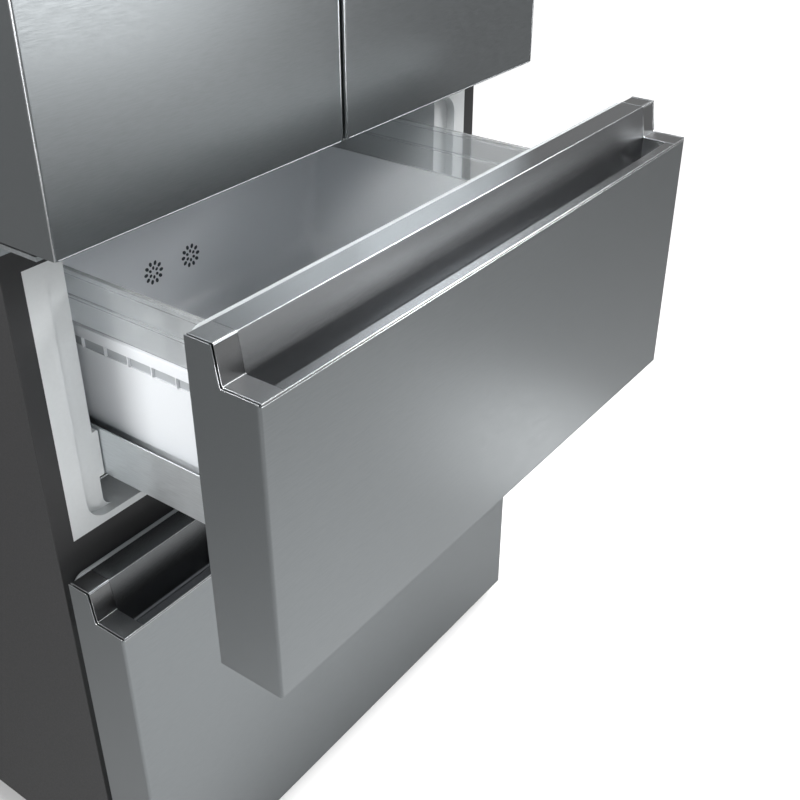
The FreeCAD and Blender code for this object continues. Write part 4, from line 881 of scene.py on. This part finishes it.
@dataclass(frozen=True)
class Softbox:
    """One rectangular lamp that the camera doesn't see.

    Attributes:
        name: The lamp's name.
        place: Where it hangs.
        target: The point that it faces.
        size: Its width and height in metres.
        power: Its power in watts.
        beam: Full angle of its beam in degrees.
    """

    name: str
    place: tuple[float, float, float]
    target: tuple[float, float, float]
    size: tuple[float, float]
    power: float
    beam: float

    def build(self) -> None:
        """Make the lamp and turn it to its target."""
        data = bpy.data.lights.new(self.name, "AREA")
        data.spread = math.radians(self.beam)
        data.shape = "RECTANGLE"
        data.size, data.size_y = self.size
        data.energy = self.power
        lamp = bpy.data.objects.new(self.name, data)
        lamp.location = self.place
        ahead = Vector(self.target) - Vector(self.place)
        lamp.rotation_euler = ahead.to_track_quat("-Z", "Y").to_euler()
        lamp.visible_camera = False
        bpy.context.scene.collection.objects.link(lamp)


# The softboxes light the whole, and each card gives one face the sheen that it has in the
# photograph.
LAMPS = (
    Softbox("overhead softbox", (0.4, -1.15, 2.7), (0.3, -0.95, 0.0), (1.1, 1.1), 14.8, 100),
    Softbox("right softbox", (2.5, -2.1, 2.6), (0.1, -0.3, 0.95), (1.1, 1.1), 8.9, 60),
    Softbox("left softbox", (-2.1, 0.35, 2.4), (-0.35, -0.3, 0.85), (0.9, 0.9), 8.2, 60),
    Softbox("front card", (-1.75, -1.95, 0.8), (-0.35, -0.3, 0.95), (0.7, 0.8), 1.4, 60),
    Softbox("bin card", (-1.6, -1.2, 1.9), (0.38, -0.3, 0.9), (0.3, 0.3), 0.45, 20),
    Softbox("door card", (0.55, -1.65, 1.08), (-0.41, -0.227, 1.4), (0.8, 0.4), 0.31, 40),
    Softbox("drawer card", (0.8, -0.92, 0.13), (0.03, -0.49, 0.71), (0.3, 0.24), 0.033, 60),
)


@dataclass
class Studio:
    """Plain pale floor, white surround and soft lamps.

    Attributes:
        floor_reach: Half the floor's side in metres.
        floor_colour: Hex colour of the floor.
        floor_roughness: Roughness of the floor.
        floor_fill: Light that the open floor adds to what the eye sees of it.
        shadow_edge: How far from the case the fill comes in, in metres, softening the painted
            shadow.
        surround: Light of the surround on the object.
    """

    floor_reach: float = 12.0
    floor_colour: str = "#e6e6e6"
    floor_roughness: float = 0.9
    floor_fill: float = 0.75
    shadow_edge: float = 0.08
    surround: float = 0.42

    def build(self) -> None:
        """Make floor, surround and lamps."""
        self.floor()
        self.world()
        for lamp in LAMPS:
            lamp.build()
        LOG.info("studio ready")

    def floor(self) -> None:
        """Make the floor as a square sheet that keeps the shadow and reads white to the eye."""
        sheet = np.array([[-1, -1, 0], [1, -1, 0], [1, 1, 0], [-1, 1, 0]], float) * self.floor_reach
        mesh = bpy.data.meshes.new("studio_floor")
        mesh.from_pydata(sheet.tolist(), [], [(0, 1, 2, 3)])
        piece = bpy.data.objects.new("studio_floor", mesh)
        bpy.context.scene.collection.objects.link(piece)
        made = bpy.data.materials.new("floor, matt white")
        made.use_nodes = True
        tree = made.node_tree
        shader = tree.nodes["Principled BSDF"]
        shader.inputs["Base Color"].default_value = linear(self.floor_colour)
        shader.inputs["Roughness"].default_value = self.floor_roughness
        shader.inputs["Emission Color"].default_value = WHITE
        seen = add_node(tree, "ShaderNodeLightPath")
        level = add_node(tree, "ShaderNodeMath", {"operation": "MULTIPLY"})
        tree.links.new(seen.outputs["Is Camera Ray"], level.inputs[0])
        # Leaving the fill out under the case paints a shadow there, over the lamps' real one.
        tree.links.new(self.fill_with_painted_shadow(tree).outputs["Result"], level.inputs[1])
        tree.links.new(level.outputs["Value"], shader.inputs["Emission Strength"])
        mesh.materials.append(made)

    def fill_with_painted_shadow(self, tree: bpy.types.NodeTree) -> bpy.types.Node:
        """Give the floor's fill: full in the open and none under the case, as a painted shadow
        there.

        A point's distance from the case's middle, less half the case's size, is how far it lies
        outside along each axis, and the larger of the two sets the fill. The kick plate stands
        before the case and counts as part of it.

        Args:
            tree: The floor material's nodes.

        Returns:
            The node that gives the fill.
        """
        low, high = np.array(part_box("case_shell"))
        low = np.minimum(low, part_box("kick_grille")[0])
        place = add_node(tree, "ShaderNodeTexCoord")
        offset = add_node(tree, "ShaderNodeVectorMath", {"operation": "SUBTRACT"})
        tree.links.new(place.outputs["Object"], offset.inputs[0])
        offset.inputs[1].default_value = (low + high) / 2
        apart = add_node(tree, "ShaderNodeVectorMath", {"operation": "ABSOLUTE"})
        tree.links.new(offset.outputs["Vector"], apart.inputs[0])
        past = add_node(tree, "ShaderNodeVectorMath", {"operation": "SUBTRACT"})
        tree.links.new(apart.outputs["Vector"], past.inputs[0])
        past.inputs[1].default_value = (high - low) / 2
        axes = add_node(tree, "ShaderNodeSeparateXYZ", {}, {"Vector": past.outputs["Vector"]})
        farther = add_node(tree, "ShaderNodeMath", {"operation": "MAXIMUM"})
        tree.links.new(axes.outputs["X"], farther.inputs[0])
        tree.links.new(axes.outputs["Y"], farther.inputs[1])
        span = {"From Min": 0.0, "From Max": self.shadow_edge,
                "To Min": 0.0, "To Max": self.floor_fill}
        return add_node(tree, "ShaderNodeMapRange", span, {"Value": farther.outputs["Value"]})

    def world(self) -> None:
        """Make a surround that is white where it is seen, and soft grey as a light."""
        world = bpy.data.worlds.new("studio surround")
        bpy.context.scene.world = world
        world.use_nodes = True
        tree = world.node_tree
        back = tree.nodes["Background"]
        back.inputs["Color"].default_value = WHITE
        seen = add_node(tree, "ShaderNodeLightPath")
        shown = add_node(tree, "ShaderNodeMath", {"operation": "MAXIMUM"})
        tree.links.new(seen.outputs["Is Camera Ray"], shown.inputs[0])
        tree.links.new(seen.outputs["Is Transmission Ray"], shown.inputs[1])
        span = add_node(tree, "ShaderNodeMapRange", {"To Min": self.surround, "To Max": 1.0},
                        {"Value": shown.outputs["Value"]})
        tree.links.new(span.outputs["Result"], back.inputs["Strength"])


@dataclass
class Viewpoint:
    """Camera at the photograph's viewing angle, solved from its vanishing lines.

    Attributes:
        place: Where the camera stands.
        turn: Angle of the view from +X towards +Y, in degrees.
        dip: Angle of the view below the horizon, in degrees.
        lens: Focal length in millimetres.
        sensor: Width of the film in millimetres.
        near: Distance in metres from which things are seen.
        far: Distance in metres to which things are seen.
    """

    place: tuple[float, float, float] = (-1.0574, -1.0920, 1.5453)
    turn: float = 36.40
    dip: float = 31.86
    lens: float = 50.4
    sensor: float = 36.0
    near: float = 0.01
    far: float = 100.0

    def build(self) -> None:
        """Make the camera and give it to the scene."""
        data = bpy.data.cameras.new("viewpoint")
        data.lens = self.lens
        data.sensor_width = self.sensor
        data.clip_start = self.near
        data.clip_end = self.far
        camera = bpy.data.objects.new("viewpoint", data)
        turn, dip = math.radians(self.turn), math.radians(self.dip)
        level = math.cos(dip)
        ahead = Vector((math.cos(turn) * level, math.sin(turn) * level, -math.sin(dip)))
        camera.location = self.place
        camera.rotation_euler = ahead.to_track_quat("-Z", "Y").to_euler()
        bpy.context.scene.collection.objects.link(camera)
        bpy.context.scene.camera = camera


def main() -> None:
    """Build the scene in order."""
    logging.basicConfig(level=logging.INFO, format="%(name)s: %(message)s")
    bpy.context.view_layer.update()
    bpy.context.scene.view_settings.view_transform = "Standard"
    Solids().dress()
    DoorHems("left_door_panel", "left_door").build()
    DoorHems("right_door_panel", "right_door").build()
    DrawerHems("upper_front_panel", "upper_handle_caps", "upper_drawer").build()
    DrawerHems("lower_front_panel", "lower_handle_caps", "lower_drawer").build()
    MouldedBin().build()
    for node, body in (("left_door_gasket", "left_door"), ("right_door_gasket", "right_door"),
                       ("upper_gasket", "upper_drawer"), ("lower_gasket", "lower_drawer")):
        BellowsSeal(node, body).build()
    Studio().build()
    Viewpoint().build()


if __name__ == "__main__":
    main()
